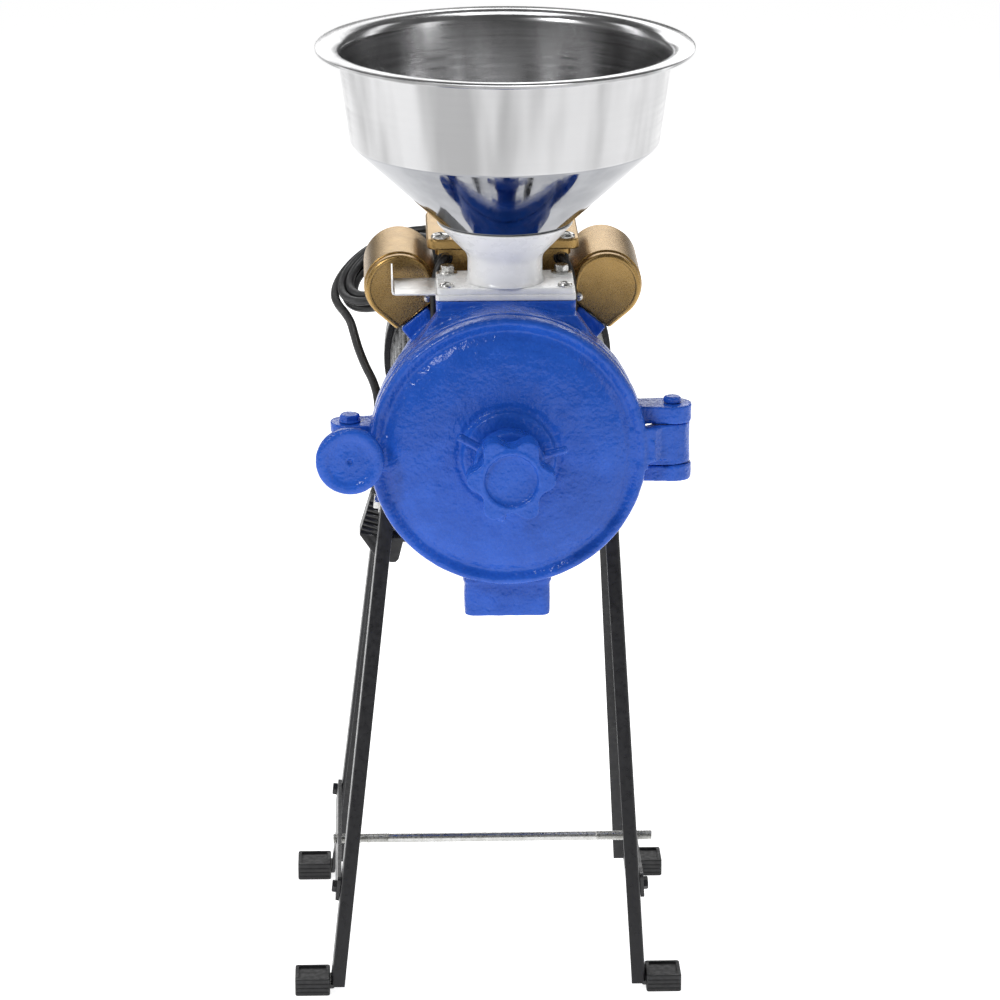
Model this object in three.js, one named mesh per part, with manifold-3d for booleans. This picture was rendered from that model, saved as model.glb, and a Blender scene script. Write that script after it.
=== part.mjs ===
// An electric disc mill for grain on a four-legged stand. Millimetres, +Z up.
// x runs across the machine, y goes from the cover to the motor, and z is measured
// from the mill shaft, which lies along y at x = 0. The last lines lift it onto the floor.
import * as THREE from 'three';
import { mergeVertices } from 'three/addons/utils/BufferGeometryUtils.js';
import Module from 'manifold-3d';

const wasm = await Module();
wasm.setup();

// ---------- driving dimensions ----------
const GAP = 0.3;
const SHAFT_HEIGHT = 438;
const SHAFT_RADIUS = 8;
const SHAFT_BORE = SHAFT_RADIUS + GAP;

const DRUM = { radius: 106.7, inner: 97, depth: 40, cavity: 32, front: 0.15 };
const BODY = { back: 96, tube: 45, bore: 24, flange: 62, flangeThick: 8 };
const INLET = { half: 40, low: 30, flangeHalf: 54, flangeLow: 98, top: 105.7, bore: 23 };
const SPOUT = { half: 33.3, front: 4, back: 38, bottom: -138, corner: 8, wall: 4.3 };
const SOLE = { half: 30, front: 46, back: 88, bottom: -88.7 };

const HINGE = { x: 127, y: 14, pin: 4, bore: 4.4, ear: 15, knuckle: 14, neck: 98 };
const HINGE_Z = { top: 31.5, upper: 18, middle: 17.5, lower: -15, earLow: -15.5, bottom: -28 };
const CLAMP = {
  x: -121, y: 15, pin: 6, bore: 6.4, ear: 16.5, earFront: 1, earBack: 33, neck: -98, z: 10,
  top: 18,
};
const CLAMP_SCREW = { radius: 5, tip: 2.9, hole: 3.7, front: -28.7, shoulder: 5, end: 17 };

const COVER = { rim: 106.7, back: -0.15, inside: -14.2, bore: 8.5, boss: 35.7, bossFront: -25 };
const LOCK_NUT = {
  radius: 27, hub: 17, back: -25.3, disc: -42, front: -50, pin: 3, reach: 45.5,
  angles: [15, 150, 262],
};
const KNOB = {
  lobe: 33.7, valley: 24, front: -86, back: -66, hub: 15, hubBack: -54, recess: 21.4,
  recessDepth: 3,
};
const SCREW = { front: -79.7, end: -7.5, radius: 8, bore: 8.3 };

const PLATE = { radius: 72, front: -7.2, back: -1.2 };
const FIXED_DISC = { radius: 75, eye: 16, front: -0.9, back: 6.6 };
const TURNING_DISC = { radius: 75, hub: 18, front: 7.9, back: 15.4, hubBack: 31.7, eye: 26, hole: 6 };
const GROOVES = { count: 12, depth: 1.6, width: 3, inner: 34 };
const AUGER = { sleeve: 12, flight: 22.5, front: 32, back: 90, pitch: 24, thick: 3, turns: 2.2 };

const BELL = { radius: 92, wall: 82, front: 97.3, back: 115, seat: 21.3 };
const BEARING = { radius: 21, front: 101, thick: 12, rear: 253.3, rearThick: 10.4 };
const STATOR = {
  radius: 88, bore: 85, front: 115.3, back: 249.7, coreFront: 140, coreBack: 225, core: 84,
  gapRadius: 51,
};
const ROTOR = { radius: 50.2 };
const REAR = { front: 250, back: 262, rim: 80, web: 256, hub: 28, hubBack: 264 };
const FAN = { hub: 14, front: 270, back: 287, blade: 72, thick: 2.5, blades: 8 };
const FAN_COVER = { radius: 93, inner: 91.2, front: 256, lip: 88.4, back: 297, slots: 8 };

const PODS = { x: 81, z: 99, radius: 28, front: 104, back: 202, base: 25, outer: 24, inner: 18, wall: 1.8 };
const CAPACITOR = { radius: 24, front: 110, back: 196 };
const BOX = { half: 49.5, front: 112, back: 192, wall: 3.2, floor: 92, top: 129.2, pillar: 6 };
const LID = { half: 59.5, front: 105, back: 200, low: 129.5, high: 138, corner: 9 };
const LEAD = { radius: 3.3, x: 54, y: 100, end: 70 };

const THROAT_BASE = { half: 54, front: 40, back: 96, low: 106, high: 116, axis: 68, bore: 25 };
const GATE = {
  left: -88, right: 27, front: 44, back: 92, low: 109.9, thick: 1.5, lip: 13, play: 0.4,
  slotRight: 30,
};
const HOPPER_AXIS = 68;

const BRACKETS = { front: [52, 72], rear: [130, 158], low: -92, high: -45, plate: 3 };
const LEG = { topZ: -45, side: 25, face: 11, plate: 2.8, tab: 25, tabLow: 5, tabHigh: 8 };
const LEFT_SIDE = { sign: -1, x: -95.6, lean: 6.6 };
const RIGHT_SIDE = { sign: 1, x: 86.4, lean: 3.2 };
const FRONT_LEG = { top: 60, bottom: -22, inward: 1 };
const REAR_LEG = { top: 150, bottom: 218, inward: -1 };
const FOOT = { deep: 31, high: 14 };
const BRACE = { front: -14, back: 204, high: 20, thick: 3, z: -358 };
const ROD = { radius: 4, y: 95, left: -138, right: 120 };
const LEG_BOLT = { radius: 4, hole: 4.4, head: 7.2, headThick: 5, z: -60, behind: 8 };

const CORD = { radius: 3.5, sides: 8 };
const COIL = { mean: 38, half: 7.2, x: -88, y: 248, z: 76, tiltX: 16, tiltY: -28 };
const GLAND = { x: -25, z: 108, nut: 11, taper: 8.6, tip: 5, hole: 6, back: 232, bore: 3.9 };

const FINE = 32;
const MEDIUM = 20;
const SMALL = 12;

// ---------- finishes ----------
const FINISH = {
  blue: { color: 0x2f55c0, roughness: 0.35, metalness: 0.0 },
  gold: { color: 0xb7995f, roughness: 0.5, metalness: 0.5 },
  steel: { color: 0xc9ccd0, roughness: 0.2, metalness: 1.0 },
  iron: { color: 0x7d7f82, roughness: 0.55, metalness: 1.0 },
  zinc: { color: 0xbfc3c7, roughness: 0.35, metalness: 1.0 },
  black: { color: 0x17171a, roughness: 0.45, metalness: 0.1 },
  rubber: { color: 0x121214, roughness: 0.8, metalness: 0.0 },
  white: { color: 0xe8e8ea, roughness: 0.4, metalness: 0.0 },
  copper: { color: 0x9a5a34, roughness: 0.5, metalness: 0.6 },
};

// ---------- helpers ----------
const radians = THREE.MathUtils.degToRad;

function solid(geometry) {
  const bare = geometry.clone();
  bare.deleteAttribute('normal');
  bare.deleteAttribute('uv');
  const merged = mergeVertices(bare, 1e-4);
  const vertProperties = new Float32Array(merged.attributes.position.array);
  const triVerts = new Uint32Array(merged.index.array);
  return new wasm.Manifold(new wasm.Mesh({ numProp: 3, vertProperties, triVerts }));
}

function surface(body) {
  const mesh = body.getMesh();
  const geometry = new THREE.BufferGeometry();
  geometry.setAttribute('position', new THREE.BufferAttribute(mesh.vertProperties, 3));
  geometry.setIndex(new THREE.BufferAttribute(mesh.triVerts, 1));
  geometry.computeVertexNormals();
  return geometry;
}

function join(...geometries) {
  return surface(geometries.map(solid).reduce((all, one) => all.add(one)));
}

function cut(geometry, ...tools) {
  return surface(tools.map(solid).reduce((left, tool) => left.subtract(tool), solid(geometry)));
}

function outline(points) {
  return new THREE.Shape(points.map(([a, b]) => new THREE.Vector2(a, b)));
}

function circlePoints(a, b, radius, sides, from = 0, to = 360) {
  const steps = to - from === 360 ? sides : Math.max(2, Math.round((sides * Math.abs(to - from)) / 360));
  const count = to - from === 360 ? steps : steps + 1;
  return Array.from({ length: count }, (_, i) => {
    const angle = radians(from + ((to - from) * i) / steps);
    return [a + radius * Math.cos(angle), b + radius * Math.sin(angle)];
  });
}

function roundedRectangle(a0, a1, b0, b1, corner, sides = 16) {
  return [
    ...circlePoints(a1 - corner, b1 - corner, corner, sides, 0, 90),
    ...circlePoints(a0 + corner, b1 - corner, corner, sides, 90, 180),
    ...circlePoints(a0 + corner, b0 + corner, corner, sides, 180, 270),
    ...circlePoints(a1 - corner, b0 + corner, corner, sides, 270, 360),
  ];
}

// A prism whose (x, z) outline runs along y.
function prismY(points, y0, y1) {
  const geometry = new THREE.ExtrudeGeometry(outline(points), { depth: y1 - y0, bevelEnabled: false });
  return geometry.rotateX(Math.PI / 2).translate(0, y1, 0);
}

// A prism whose (x, y) outline runs along z.
function prismZ(points, z0, z1) {
  const geometry = new THREE.ExtrudeGeometry(outline(points), { depth: z1 - z0, bevelEnabled: false });
  return geometry.translate(0, 0, z0);
}

// A prism whose (y, z) outline runs along x.
function prismX(points, x0, x1) {
  const geometry = new THREE.ExtrudeGeometry(outline(points), { depth: x1 - x0, bevelEnabled: false });
  const turn = new THREE.Matrix4().makeBasis(
    new THREE.Vector3(0, 1, 0), new THREE.Vector3(0, 0, 1), new THREE.Vector3(1, 0, 0));
  return geometry.applyMatrix4(turn).translate(x0, 0, 0);
}

function box(x0, x1, y0, y1, z0, z1) {
  const geometry = new THREE.BoxGeometry(x1 - x0, y1 - y0, z1 - z0);
  return geometry.translate((x0 + x1) / 2, (y0 + y1) / 2, (z0 + z1) / 2);
}

// A turned body from (radius, height) points; the profile ends on the axis or closes on itself.
function turned(profile, sides) {
  const area = profile.reduce((sum, [r, h], i) => {
    const [nextR, nextH] = profile[(i + 1) % profile.length];
    return sum + r * nextH - nextR * h;
  }, 0);
  const ordered = area > 0 ? profile : [...profile].reverse();
  const onAxis = ordered[0][0] === 0 && ordered[ordered.length - 1][0] === 0;
  const loop = onAxis ? ordered : [...ordered, ordered[0]];
  return new THREE.LatheGeometry(loop.map(([r, h]) => new THREE.Vector2(r, h)), sides);
}

function turnedY(profile, sides = FINE) {
  return turned(startOnAxis(profile), sides);
}

function turnedZ(profile, sides = FINE) {
  return turned(startOnAxis(profile), sides).rotateX(Math.PI / 2);
}

// Puts the profile's two points on the axis first and last.
function startOnAxis(profile) {
  const first = profile.findIndex(([r], i) => r === 0 && profile.at(i - 1)[0] === 0);
  return first < 0 ? profile : [...profile.slice(first), ...profile.slice(0, first)];
}

function roundY(radius, y0, y1, x = 0, z = 0, sides = SMALL) {
  return turnedY([[0, y0], [radius, y0], [radius, y1], [0, y1]], sides).translate(x, 0, z);
}

function roundZ(radius, z0, z1, x = 0, y = 0, sides = SMALL) {
  return turnedZ([[0, z0], [radius, z0], [radius, z1], [0, z1]], sides).translate(x, y, 0);
}

function roundX(radius, x0, x1, y = 0, z = 0, sides = SMALL) {
  return prismX(circlePoints(y, z, radius, sides), x0, x1);
}

// A tube or rod of the given radius along a smooth line through the points.
function tube(points, radius, sides, steps) {
  const path = new THREE.CatmullRomCurve3(points.map(([x, y, z]) => new THREE.Vector3(x, y, z)));
  const section = outline(circlePoints(0, 0, radius, sides));
  return new THREE.ExtrudeGeometry(section, { steps, bevelEnabled: false, extrudePath: path });
}

const machine = new THREE.Group();

function add(name, finish, geometry) {
  const material = new THREE.MeshStandardMaterial(FINISH[finish]);
  const mesh = new THREE.Mesh(geometry, material);
  mesh.name = name;
  machine.add(mesh);
  return mesh;
}

// ---------- chamber and its spout ----------
function hingeEar(z0, z1) {
  const { x, y, ear, neck, bore } = HINGE;
  const plate = prismZ([[neck, y - 11], ...circlePoints(x, y, ear, 24, -90, 90), [neck, y + 11]], z0, z1);
  return cut(plate, roundZ(bore, z0 - 1, z1 + 1, x, y));
}

function clampEar(z0, z1) {
  const { x, y, ear, earFront, earBack, neck, bore } = CLAMP;
  const middle = (earFront + earBack) / 2;
  const plate = prismZ([[neck, earFront], [neck, earBack], ...circlePoints(x, middle, ear - 1, 24, 90, 270)], z0, z1);
  return cut(plate, roundZ(bore, z0 - 1, z1 + 1, x, y));
}

function spoutOutline(inset) {
  const { half, front, back, corner } = SPOUT;
  return roundedRectangle(-half + inset, half - inset, front + inset, back - inset, corner - inset);
}

function chamberHousing() {
  const { radius, inner, depth, cavity, front } = DRUM;
  const drum = turnedY([[0, front], [radius, front], [radius, depth], [0, depth]], FINE);
  const feedTube = roundY(BODY.tube, depth - 1, BODY.back, 0, 0, FINE);
  const seat = INLET.half + GAP;
  const flange = cut(
    roundY(BODY.flange, BODY.back - BODY.flangeThick, BODY.back, 0, 0, FINE),
    box(-seat, seat, depth, BODY.back + 1, INLET.low - GAP, BODY.flange + 1),
  );
  const sole = box(-SOLE.half, SOLE.half, SOLE.front, SOLE.back, SOLE.bottom, -20);
  const spout = prismZ(spoutOutline(0), SPOUT.bottom, -70);
  const ears = [hingeEar(HINGE_Z.upper, HINGE_Z.top), hingeEar(HINGE_Z.bottom, HINGE_Z.earLow)];
  const clampEars = [clampEar(CLAMP.z, CLAMP.top), clampEar(-CLAMP.top, -CLAMP.z)];
  const casting = join(drum, feedTube, flange, sole, spout, ...ears, ...clampEars);
  return cut(
    casting,
    turnedY([[0, front - 1], [inner, front - 1], [inner, cavity], [0, cavity]], FINE),
    prismZ(spoutOutline(SPOUT.wall), SPOUT.bottom - 1, -88),
    roundY(BODY.bore, cavity - 1, BODY.back - 3, 0, 0, 32),
    roundY(SHAFT_BORE + 1, BODY.back - 4, BODY.back + 1, 0, 0, 24),
    roundZ(INLET.bore, 0, BODY.tube + 1, 0, THROAT_BASE.axis, 32),
  );
}

// The feed inlet stands behind the drum and saddles the feed tube.
function feedInlet() {
  const { half, low, flangeHalf, flangeLow, top, bore } = INLET;
  const front = DRUM.depth + GAP;
  const neck = box(-half, half, front, BODY.back, low, flangeLow + 1);
  const flange = prismZ(roundedRectangle(-flangeHalf, flangeHalf, front, BODY.back, 4), flangeLow, top);
  return cut(
    join(neck, flange),
    roundY(BODY.tube + GAP, front - 1, BODY.back + 1, 0, 0, FINE),
    roundZ(bore, 0, top + 1, 0, THROAT_BASE.axis, 32),
  );
}

// ---------- hinged cover and what it carries ----------
function coverArm() {
  const { x, y, knuckle, bore } = HINGE;
  const { lower, middle } = HINGE_Z;
  const arm = prismZ([
    [94, -12], [120, -12], ...circlePoints(x, y, knuckle, 24, -35, 180), [x - knuckle, -0.5], [94, -0.5],
  ], lower, middle);
  return cut(arm, roundZ(bore, lower - 1, middle + 1, x, y));
}

function coverLug() {
  const { x } = CLAMP;
  return prismZ([[-92, -1], [-92, -13], [x - 10, -13], [x - 15, -9], [x - 15, -1]], -13, 13);
}

function cover() {
  const { rim, back, inside, bore, boss, bossFront } = COVER;
  const shell = turnedY([
    [bore, bossFront], [boss - 3, bossFront], [boss, bossFront + 2], [boss + 2, -20.5], [60, -19.5], [78, -17.2],
    [90, -13.8], [95.5, -11], [98, -12.8], [102, -14.6], [rim - 1.5, -13], [rim, -9], [rim, back],
    [92, back], [88, -8], [PLATE.radius + 4, inside], [bore, inside],
  ], FINE);
  const solidCover = join(shell, coverArm(), coverLug());
  return cut(solidCover, roundY(CLAMP_SCREW.radius + 0.6, -20, 0, CLAMP.x, 0));
}

function hingePin() {
  const { x, y, pin } = HINGE;
  const { top, bottom } = HINGE_Z;
  return turnedZ([
    [0, bottom - 3], [pin - 0.8, bottom - 3], [pin, bottom - 2], [pin, top + GAP], [6.7, top + GAP],
    [6.7, top + 4], [5.2, top + 5.3], [0, top + 5.3],
  ], 20).translate(x, y, 0);
}

function clampPin() {
  const { x, y, pin, top } = CLAMP;
  const body = turnedZ([
    [0, -top - 4], [pin - 1, -top - 4], [pin, -top - 3], [pin, top + GAP], [7.6, top + GAP],
    [7.6, top + 5], [6.2, top + 6.2], [0, top + 6.2],
  ], 20).translate(x, y, 0);
  return cut(body, roundY(CLAMP_SCREW.hole, y - 12, y + 12, x, 0));
}

function handwheel() {
  return turnedY([
    [0, -32], [2.2, -32], [4, -33], [16, -33], [21, -34.8], [24.6, -34.6], [26.3, -32.4], [26.3, -26.6],
    [24.4, -24.4], [12.5, -23.5], [11.5, -13.3], [CLAMP_SCREW.radius + GAP, -13.3], [CLAMP_SCREW.radius + GAP, -29],
    [0, -29],
  ], MEDIUM).translate(CLAMP.x, 0, 0);
}

function clampScrew() {
  const { radius, tip, front, shoulder, end } = CLAMP_SCREW;
  return turnedY([
    [0, front], [radius, front], [radius, shoulder - 1.5], [tip, shoulder], [tip, end - 1], [tip - 1, end], [0, end],
  ], 20).translate(CLAMP.x, 0, 0);
}

function lockNut() {
  const { radius, hub, back, disc, front, pin, reach, angles } = LOCK_NUT;
  const nut = turnedY([
    [SCREW.bore + 0.3, back], [hub, back], [hub, disc], [radius - 1, disc], [radius, disc - 1], [radius, front + 1.5],
    [radius - 2, front], [SCREW.bore + 0.3, front],
  ], 24);
  const middle = (disc + front) / 2;
  const pins = angles.map((angle) => roundX(pin, hub, reach, middle, 0, 8).rotateY(-radians(angle)));
  return join(nut, ...pins);
}

function starOutline() {
  const { lobe, valley } = KNOB;
  const mean = (lobe + valley) / 2;
  const swing = (lobe - valley) / 2;
  return Array.from({ length: 48 }, (_, i) => {
    const angle = (i * 2 * Math.PI) / 48;
    const radius = mean + swing * Math.cos(6 * angle);
    return [radius * Math.cos(angle), radius * Math.sin(angle)];
  });
}

function starKnob() {
  const { front, back, hub, hubBack, recess, recessDepth } = KNOB;
  const star = prismY(starOutline(), front, back);
  const knob = join(star, roundY(hub, back - 1, hubBack, 0, 0, 28));
  const blindBore = roundY(SCREW.bore, SCREW.front - GAP, hubBack + 1, 0, 0, 24);
  return cut(knob, roundY(recess, front - 1, front + recessDepth, 0, 0, 36), blindBore);
}

function adjustingScrew() {
  const { front, end, radius } = SCREW;
  return turnedY([
    [0, front], [radius, front], [radius, end - 2], [radius - 2, end], [0, end],
  ], 24);
}

function pressurePlate() {
  const { radius, front, back } = PLATE;
  return turnedY([[0, front], [radius - 4, front], [radius, front + 1.5], [radius, back], [0, back]], FINE);
}

// ---------- grinding discs and feed screw ----------
function grooved(disc, face, towards) {
  const { count, depth, width, inner } = GROOVES;
  const low = Math.min(face, face + depth * towards) - (towards < 0 ? 0 : 1);
  const high = Math.max(face, face + depth * towards) + (towards < 0 ? 1 : 0);
  const grooves = Array.from({ length: count }, (_, i) => (
    box(inner, TURNING_DISC.radius + 1, low, high, 8 - width / 2, 8 + width / 2).rotateY((i * 2 * Math.PI) / count)
  ));
  return cut(disc, ...grooves);
}

function fixedDisc() {
  const { radius, eye, front, back } = FIXED_DISC;
  return grooved(turnedY([[eye, front], [radius, front], [radius, back], [eye, back]], FINE), back, -1);
}

function turningDisc() {
  const { radius, hub, front, back, hubBack, eye, hole } = TURNING_DISC;
  const disc = turnedY([
    [SHAFT_BORE, front], [radius, front], [radius, back], [hub, back], [hub, hubBack], [SHAFT_BORE, hubBack],
  ], FINE);
  const holes = Array.from({ length: 6 }, (_, i) => (
    roundY(hole, front - 1, back + 1, eye, 0, 8).rotateY((i * Math.PI) / 3)
  ));
  return grooved(cut(disc, ...holes), front, 1);
}

// The flight starts as a long bar whose points are wrapped round the sleeve.
function feedAuger() {
  const { sleeve, flight, front, back, pitch, thick, turns } = AUGER;
  const bar = new THREE.BoxGeometry(turns, 1, 1, Math.round(turns * 9), 1, 1);
  const points = bar.attributes.position;
  for (let i = 0; i < points.count; i += 1) {
    const turn = points.getX(i) + turns / 2;
    const radius = points.getY(i) < 0 ? sleeve - 1 : flight;
    const along = front + 1 + thick / 2 + turn * pitch - points.getZ(i) * thick;
    const angle = turn * 2 * Math.PI;
    points.setXYZ(i, radius * Math.sin(angle), along, radius * Math.cos(angle));
  }
  const core = turnedY([[SHAFT_BORE, front], [sleeve, front], [sleeve, back], [SHAFT_BORE, back]], 32);
  return join(core, bar);
}

function mainShaft() {
  const { front } = TURNING_DISC;
  return turnedY([
    [0, 2.6], [11, 2.6], [12, 3.6], [12, front - GAP], [SHAFT_RADIUS, front - GAP], [SHAFT_RADIUS, 290], [0, 290],
  ], 24);
}

add('chamber_housing', 'blue', chamberHousing());
add('feed_inlet', 'blue', feedInlet());
add('cover', 'blue', cover());
add('hinge_pin', 'blue', hingePin());
add('clamp_pin', 'blue', clampPin());
add('handwheel', 'blue', handwheel());
add('clamp_screw', 'zinc', clampScrew());
add('lock_nut', 'blue', lockNut());
add('star_knob', 'blue', starKnob());
add('adjusting_screw', 'zinc', adjustingScrew());
add('pressure_plate', 'iron', pressurePlate());
add('fixed_disc', 'iron', fixedDisc());
add('turning_disc', 'iron', turningDisc());
add('feed_auger', 'iron', feedAuger());
add('main_shaft', 'steel', mainShaft());

// ---------- motor ----------
const POD_ANGLE = Math.atan2(PODS.z, PODS.x);

// A pad that carries one end of a capacitor housing, on the given side of the motor.
function podPad(sign, y0, y1) {
  const reach = Math.hypot(PODS.x, PODS.z) - PODS.base - GAP;
  const pad = prismY([[72, -20], [reach, -20], [reach, 7], [72, 7]], y0, y1).rotateY(-POD_ANGLE);
  return sign > 0 ? pad : prismY([[72, -7], [reach, -7], [reach, 20], [72, 20]], y0, y1).rotateY(POD_ANGLE - Math.PI);
}

function motorFrontBell() {
  const { radius, wall, front, back, seat } = BELL;
  const bell = turnedY([
    [SHAFT_BORE + 3, front], [radius - 1.5, front], [radius, front + 1.5], [radius, back], [wall, back],
    [wall, back - 8], [30, back - 8], [30, back - 1], [seat, back - 1], [seat, BEARING.front - GAP],
    [SHAFT_BORE + 3, BEARING.front - GAP],
  ], FINE);
  const pads = [-1, 1].map((sign) => podPad(sign, PODS.front, back));
  const leadHoles = [-1, 1].map((sign) => roundZ(LEAD.radius + GAP, LEAD.end - 1, BELL.radius, sign * LEAD.x, LEAD.y));
  return cut(join(bell, ...pads), ...leadHoles);
}

function bearing(y0, thick) {
  const { radius } = BEARING;
  return turnedY([[SHAFT_BORE, y0], [radius, y0], [radius, y0 + thick], [SHAFT_BORE, y0 + thick]], MEDIUM);
}

function statorShell() {
  const { radius, bore, front, back } = STATOR;
  const tubeWall = turnedY([[0, front], [radius, front], [radius, back], [0, back]], FINE);
  const pads = [-1, 1].map((sign) => podPad(sign, 180, 194));
  const sole = box(-SOLE.half, SOLE.half, BRACKETS.rear[0], BRACKETS.rear[1], SOLE.bottom, -80);
  const hollow = turnedY([[0, front - 1], [bore, front - 1], [bore, back + 1], [0, back + 1]], FINE);
  return cut(join(tubeWall, ...pads, sole), hollow, roundZ(9, 70, 95, 0, 150));
}

function statorCore() {
  const { core, gapRadius, coreFront, coreBack } = STATOR;
  const ring = turnedY([[gapRadius, coreFront], [core, coreFront], [core, coreBack], [gapRadius, coreBack]], FINE);
  const slots = Array.from({ length: 12 }, (_, i) => (
    box(gapRadius - 2, 72, coreFront - 1, coreBack + 1, -3, 3).rotateY((i * Math.PI) / 6)
  ));
  return cut(ring, ...slots);
}

function rotorCore() {
  const { coreFront, coreBack } = STATOR;
  const { radius } = ROTOR;
  return turnedY([[SHAFT_BORE, coreFront], [radius, coreFront], [radius, coreBack], [SHAFT_BORE, coreBack]], FINE);
}

function rearEndBell() {
  const { front, back, rim, web, hub, hubBack } = REAR;
  const { radius } = STATOR;
  const bell = turnedY([
    [SHAFT_BORE + 1, front], [radius, front], [radius, back], [rim, back], [rim, web], [hub, web], [hub, hubBack],
    [BEARING.radius + GAP, hubBack], [BEARING.radius + GAP, BEARING.rear - GAP], [SHAFT_BORE + 1, BEARING.rear - GAP],
  ], FINE);
  const vents = Array.from({ length: 6 }, (_, i) => roundY(9, front - 1, web + 1, 54, 0, 8).rotateY((i * Math.PI) / 3));
  return cut(bell, ...vents);
}

function coolingFan() {
  const { hub, front, back, blade, thick, blades } = FAN;
  const core = roundY(hub, front, back, 0, 0, 24);
  const disc = roundY(blade - 14, back - 3, back, 0, 0, 32);
  const vanes = Array.from({ length: blades }, (_, i) => (
    box(hub - 2, blade, front + 2, back - 1, -thick / 2, thick / 2).rotateY((i * 2 * Math.PI) / blades)
  ));
  return cut(join(core, disc, ...vanes), roundY(SHAFT_BORE, front - 1, back + 1, 0, 0, 24));
}

function fanCover() {
  const { radius, inner, front, lip, back, slots } = FAN_COVER;
  const cup = turnedY([
    [lip, front], [radius, front], [radius, back - 6], [radius - 5, back], [0, back], [0, back - 1.8],
    [radius - 6, back - 1.8], [inner, back - 6.6], [inner, front + 2], [lip, front + 2],
  ], FINE);
  const vents = Array.from({ length: slots }, (_, i) => (
    box(26, 74, back - 4, back + 1, -3.2, 3.2).rotateY((i * 2 * Math.PI) / slots)
  ));
  return cut(cup, ...vents);
}

// ---------- capacitors, junction box and leads ----------
// Maps a point in a pod's own (u, w) plane, w pointing away from the shaft, to (x, z).
function podPoint(sign, u, w) {
  const x = PODS.x - u * Math.sin(POD_ANGLE) + w * Math.cos(POD_ANGLE);
  const z = PODS.z + u * Math.cos(POD_ANGLE) + w * Math.sin(POD_ANGLE);
  return [sign * x, z];
}

// A round top that runs down on two tangents to a flat base.
function podOutline(sign, radius, base, outer, inner) {
  const tangent = (u) => Math.acos(radius / Math.hypot(u, base));
  const right = radians(-90) + Math.atan2(inner, base) + tangent(inner);
  const left = radians(270) - Math.atan2(outer, base) - tangent(outer);
  const arc = Array.from({ length: 21 }, (_, i) => {
    const angle = right + ((left - right) * i) / 20;
    return [radius * Math.cos(angle), radius * Math.sin(angle)];
  });
  return [[-outer, -base], [inner, -base], ...arc].map(([u, w]) => podPoint(sign, u, w));
}

function capacitorHousing(sign) {
  const { radius, front, back, base, outer, inner, wall } = PODS;
  const shell = prismY(podOutline(sign, radius, base, outer, inner), front, back);
  const [x, z] = podPoint(sign, 0, 0);
  const hollow = roundY(radius - wall, front + wall, back - wall, x, z, 32);
  const leadSlot = prismY([[-5, -base - 1], [5, -base - 1], [5, 0], [-5, 0]].map(([u, w]) => podPoint(sign, u, w)),
    front + 30, front + 60);
  return cut(shell, hollow, leadSlot);
}

function capacitor(sign) {
  const [x, z] = podPoint(sign, 0, 0);
  return roundY(CAPACITOR.radius, CAPACITOR.front, CAPACITOR.back, x, z, MEDIUM);
}

function junctionBoxBody() {
  const { half, front, back, wall, floor, top, pillar } = BOX;
  const shell = box(-half, half, front, back, 60, top);
  const hollow = box(-half + wall, half - wall, front + wall, back - wall, floor, top + 1);
  const pillars = [-1, 1].flatMap((side) => [front + pillar, back - pillar].map((y) => (
    roundZ(pillar, floor - 1, top, side * (half - pillar), y, 16)
  )));
  const motor = join(
    roundY(STATOR.radius + GAP, front - 1, back + 1, 0, 0, FINE),
    roundY(BELL.radius + GAP, front - 1, STATOR.front, 0, 0, FINE),
  );
  const recesses = [box(-half + 14, half - 14, front - 1, front + 1.2, 78, top - 7)];
  const leadHoles = [-1, 1].map((side) => roundY(LEAD.radius + 0.6, front - 1, front + wall + 1, side * 45, 122));
  const glandHole = roundY(GLAND.hole + GAP, back - wall - 1, back + 1, GLAND.x, GLAND.z);
  const wireHole = roundZ(9, 80, floor + 1, 0, 150);
  return cut(join(cut(shell, hollow), ...pillars), motor, ...recesses, ...leadHoles, glandHole, wireHole);
}

function junctionBoxLid() {
  const { half, front, back, low, high, corner } = LID;
  const edge = 1.5;
  const points = roundedRectangle(-half + edge, half - edge, front + edge, back - edge, corner - edge);
  const lid = new THREE.ExtrudeGeometry(outline(points), {
    depth: high - low - 2 * edge, bevelThickness: edge, bevelSize: edge, bevelSegments: 1,
  });
  return lid.translate(0, 0, low + edge);
}

function capacitorLead(sign) {
  const { radius, x, y, end } = LEAD;
  const route = [[45, BOX.front + 2, 122], [46.5, 107, 122], [50, 102, 118.5], [53, y, 110], [x, y, 98], [x, y, 84],
    [x, y, end]];
  return tube(route.map(([a, b, c]) => [sign * a, b, c]), radius, 8, 10);
}

add('motor_front_bell', 'blue', motorFrontBell());
add('front_bearing', 'steel', bearing(BEARING.front, BEARING.thick));
add('stator_shell', 'black', statorShell());
add('stator_core', 'copper', statorCore());
add('rotor_core', 'iron', rotorCore());
add('rear_end_bell', 'black', rearEndBell());
add('rear_bearing', 'steel', bearing(BEARING.rear, BEARING.rearThick));
add('cooling_fan', 'black', coolingFan());
add('fan_cover', 'black', fanCover());
for (const [side, sign] of [['left', -1], ['right', 1]]) {
  add(`${side}_capacitor_housing`, 'gold', capacitorHousing(sign));
  add(`${side}_capacitor`, 'black', capacitor(sign));
  add(`${side}_capacitor_lead`, 'black', capacitorLead(sign));
}
add('junction_box_body', 'gold', junctionBoxBody());
add('junction_box_lid', 'gold', junctionBoxLid());

// ---------- feed throat, gate and hopper ----------
function throatBase() {
  const { half, front, back, low, high, axis, bore } = THROAT_BASE;
  const { play } = GATE;
  const plate = prismZ(roundedRectangle(-half, half, front, back, 3, 12), low, high);
  const slot = box(-half - 1, GATE.slotRight, GATE.front - play, GATE.back + play, GATE.low - play,
    GATE.low + GATE.thick + play);
  return cut(plate, roundZ(bore, low - 1, high + 1, 0, axis, 32), slot);
}

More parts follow.
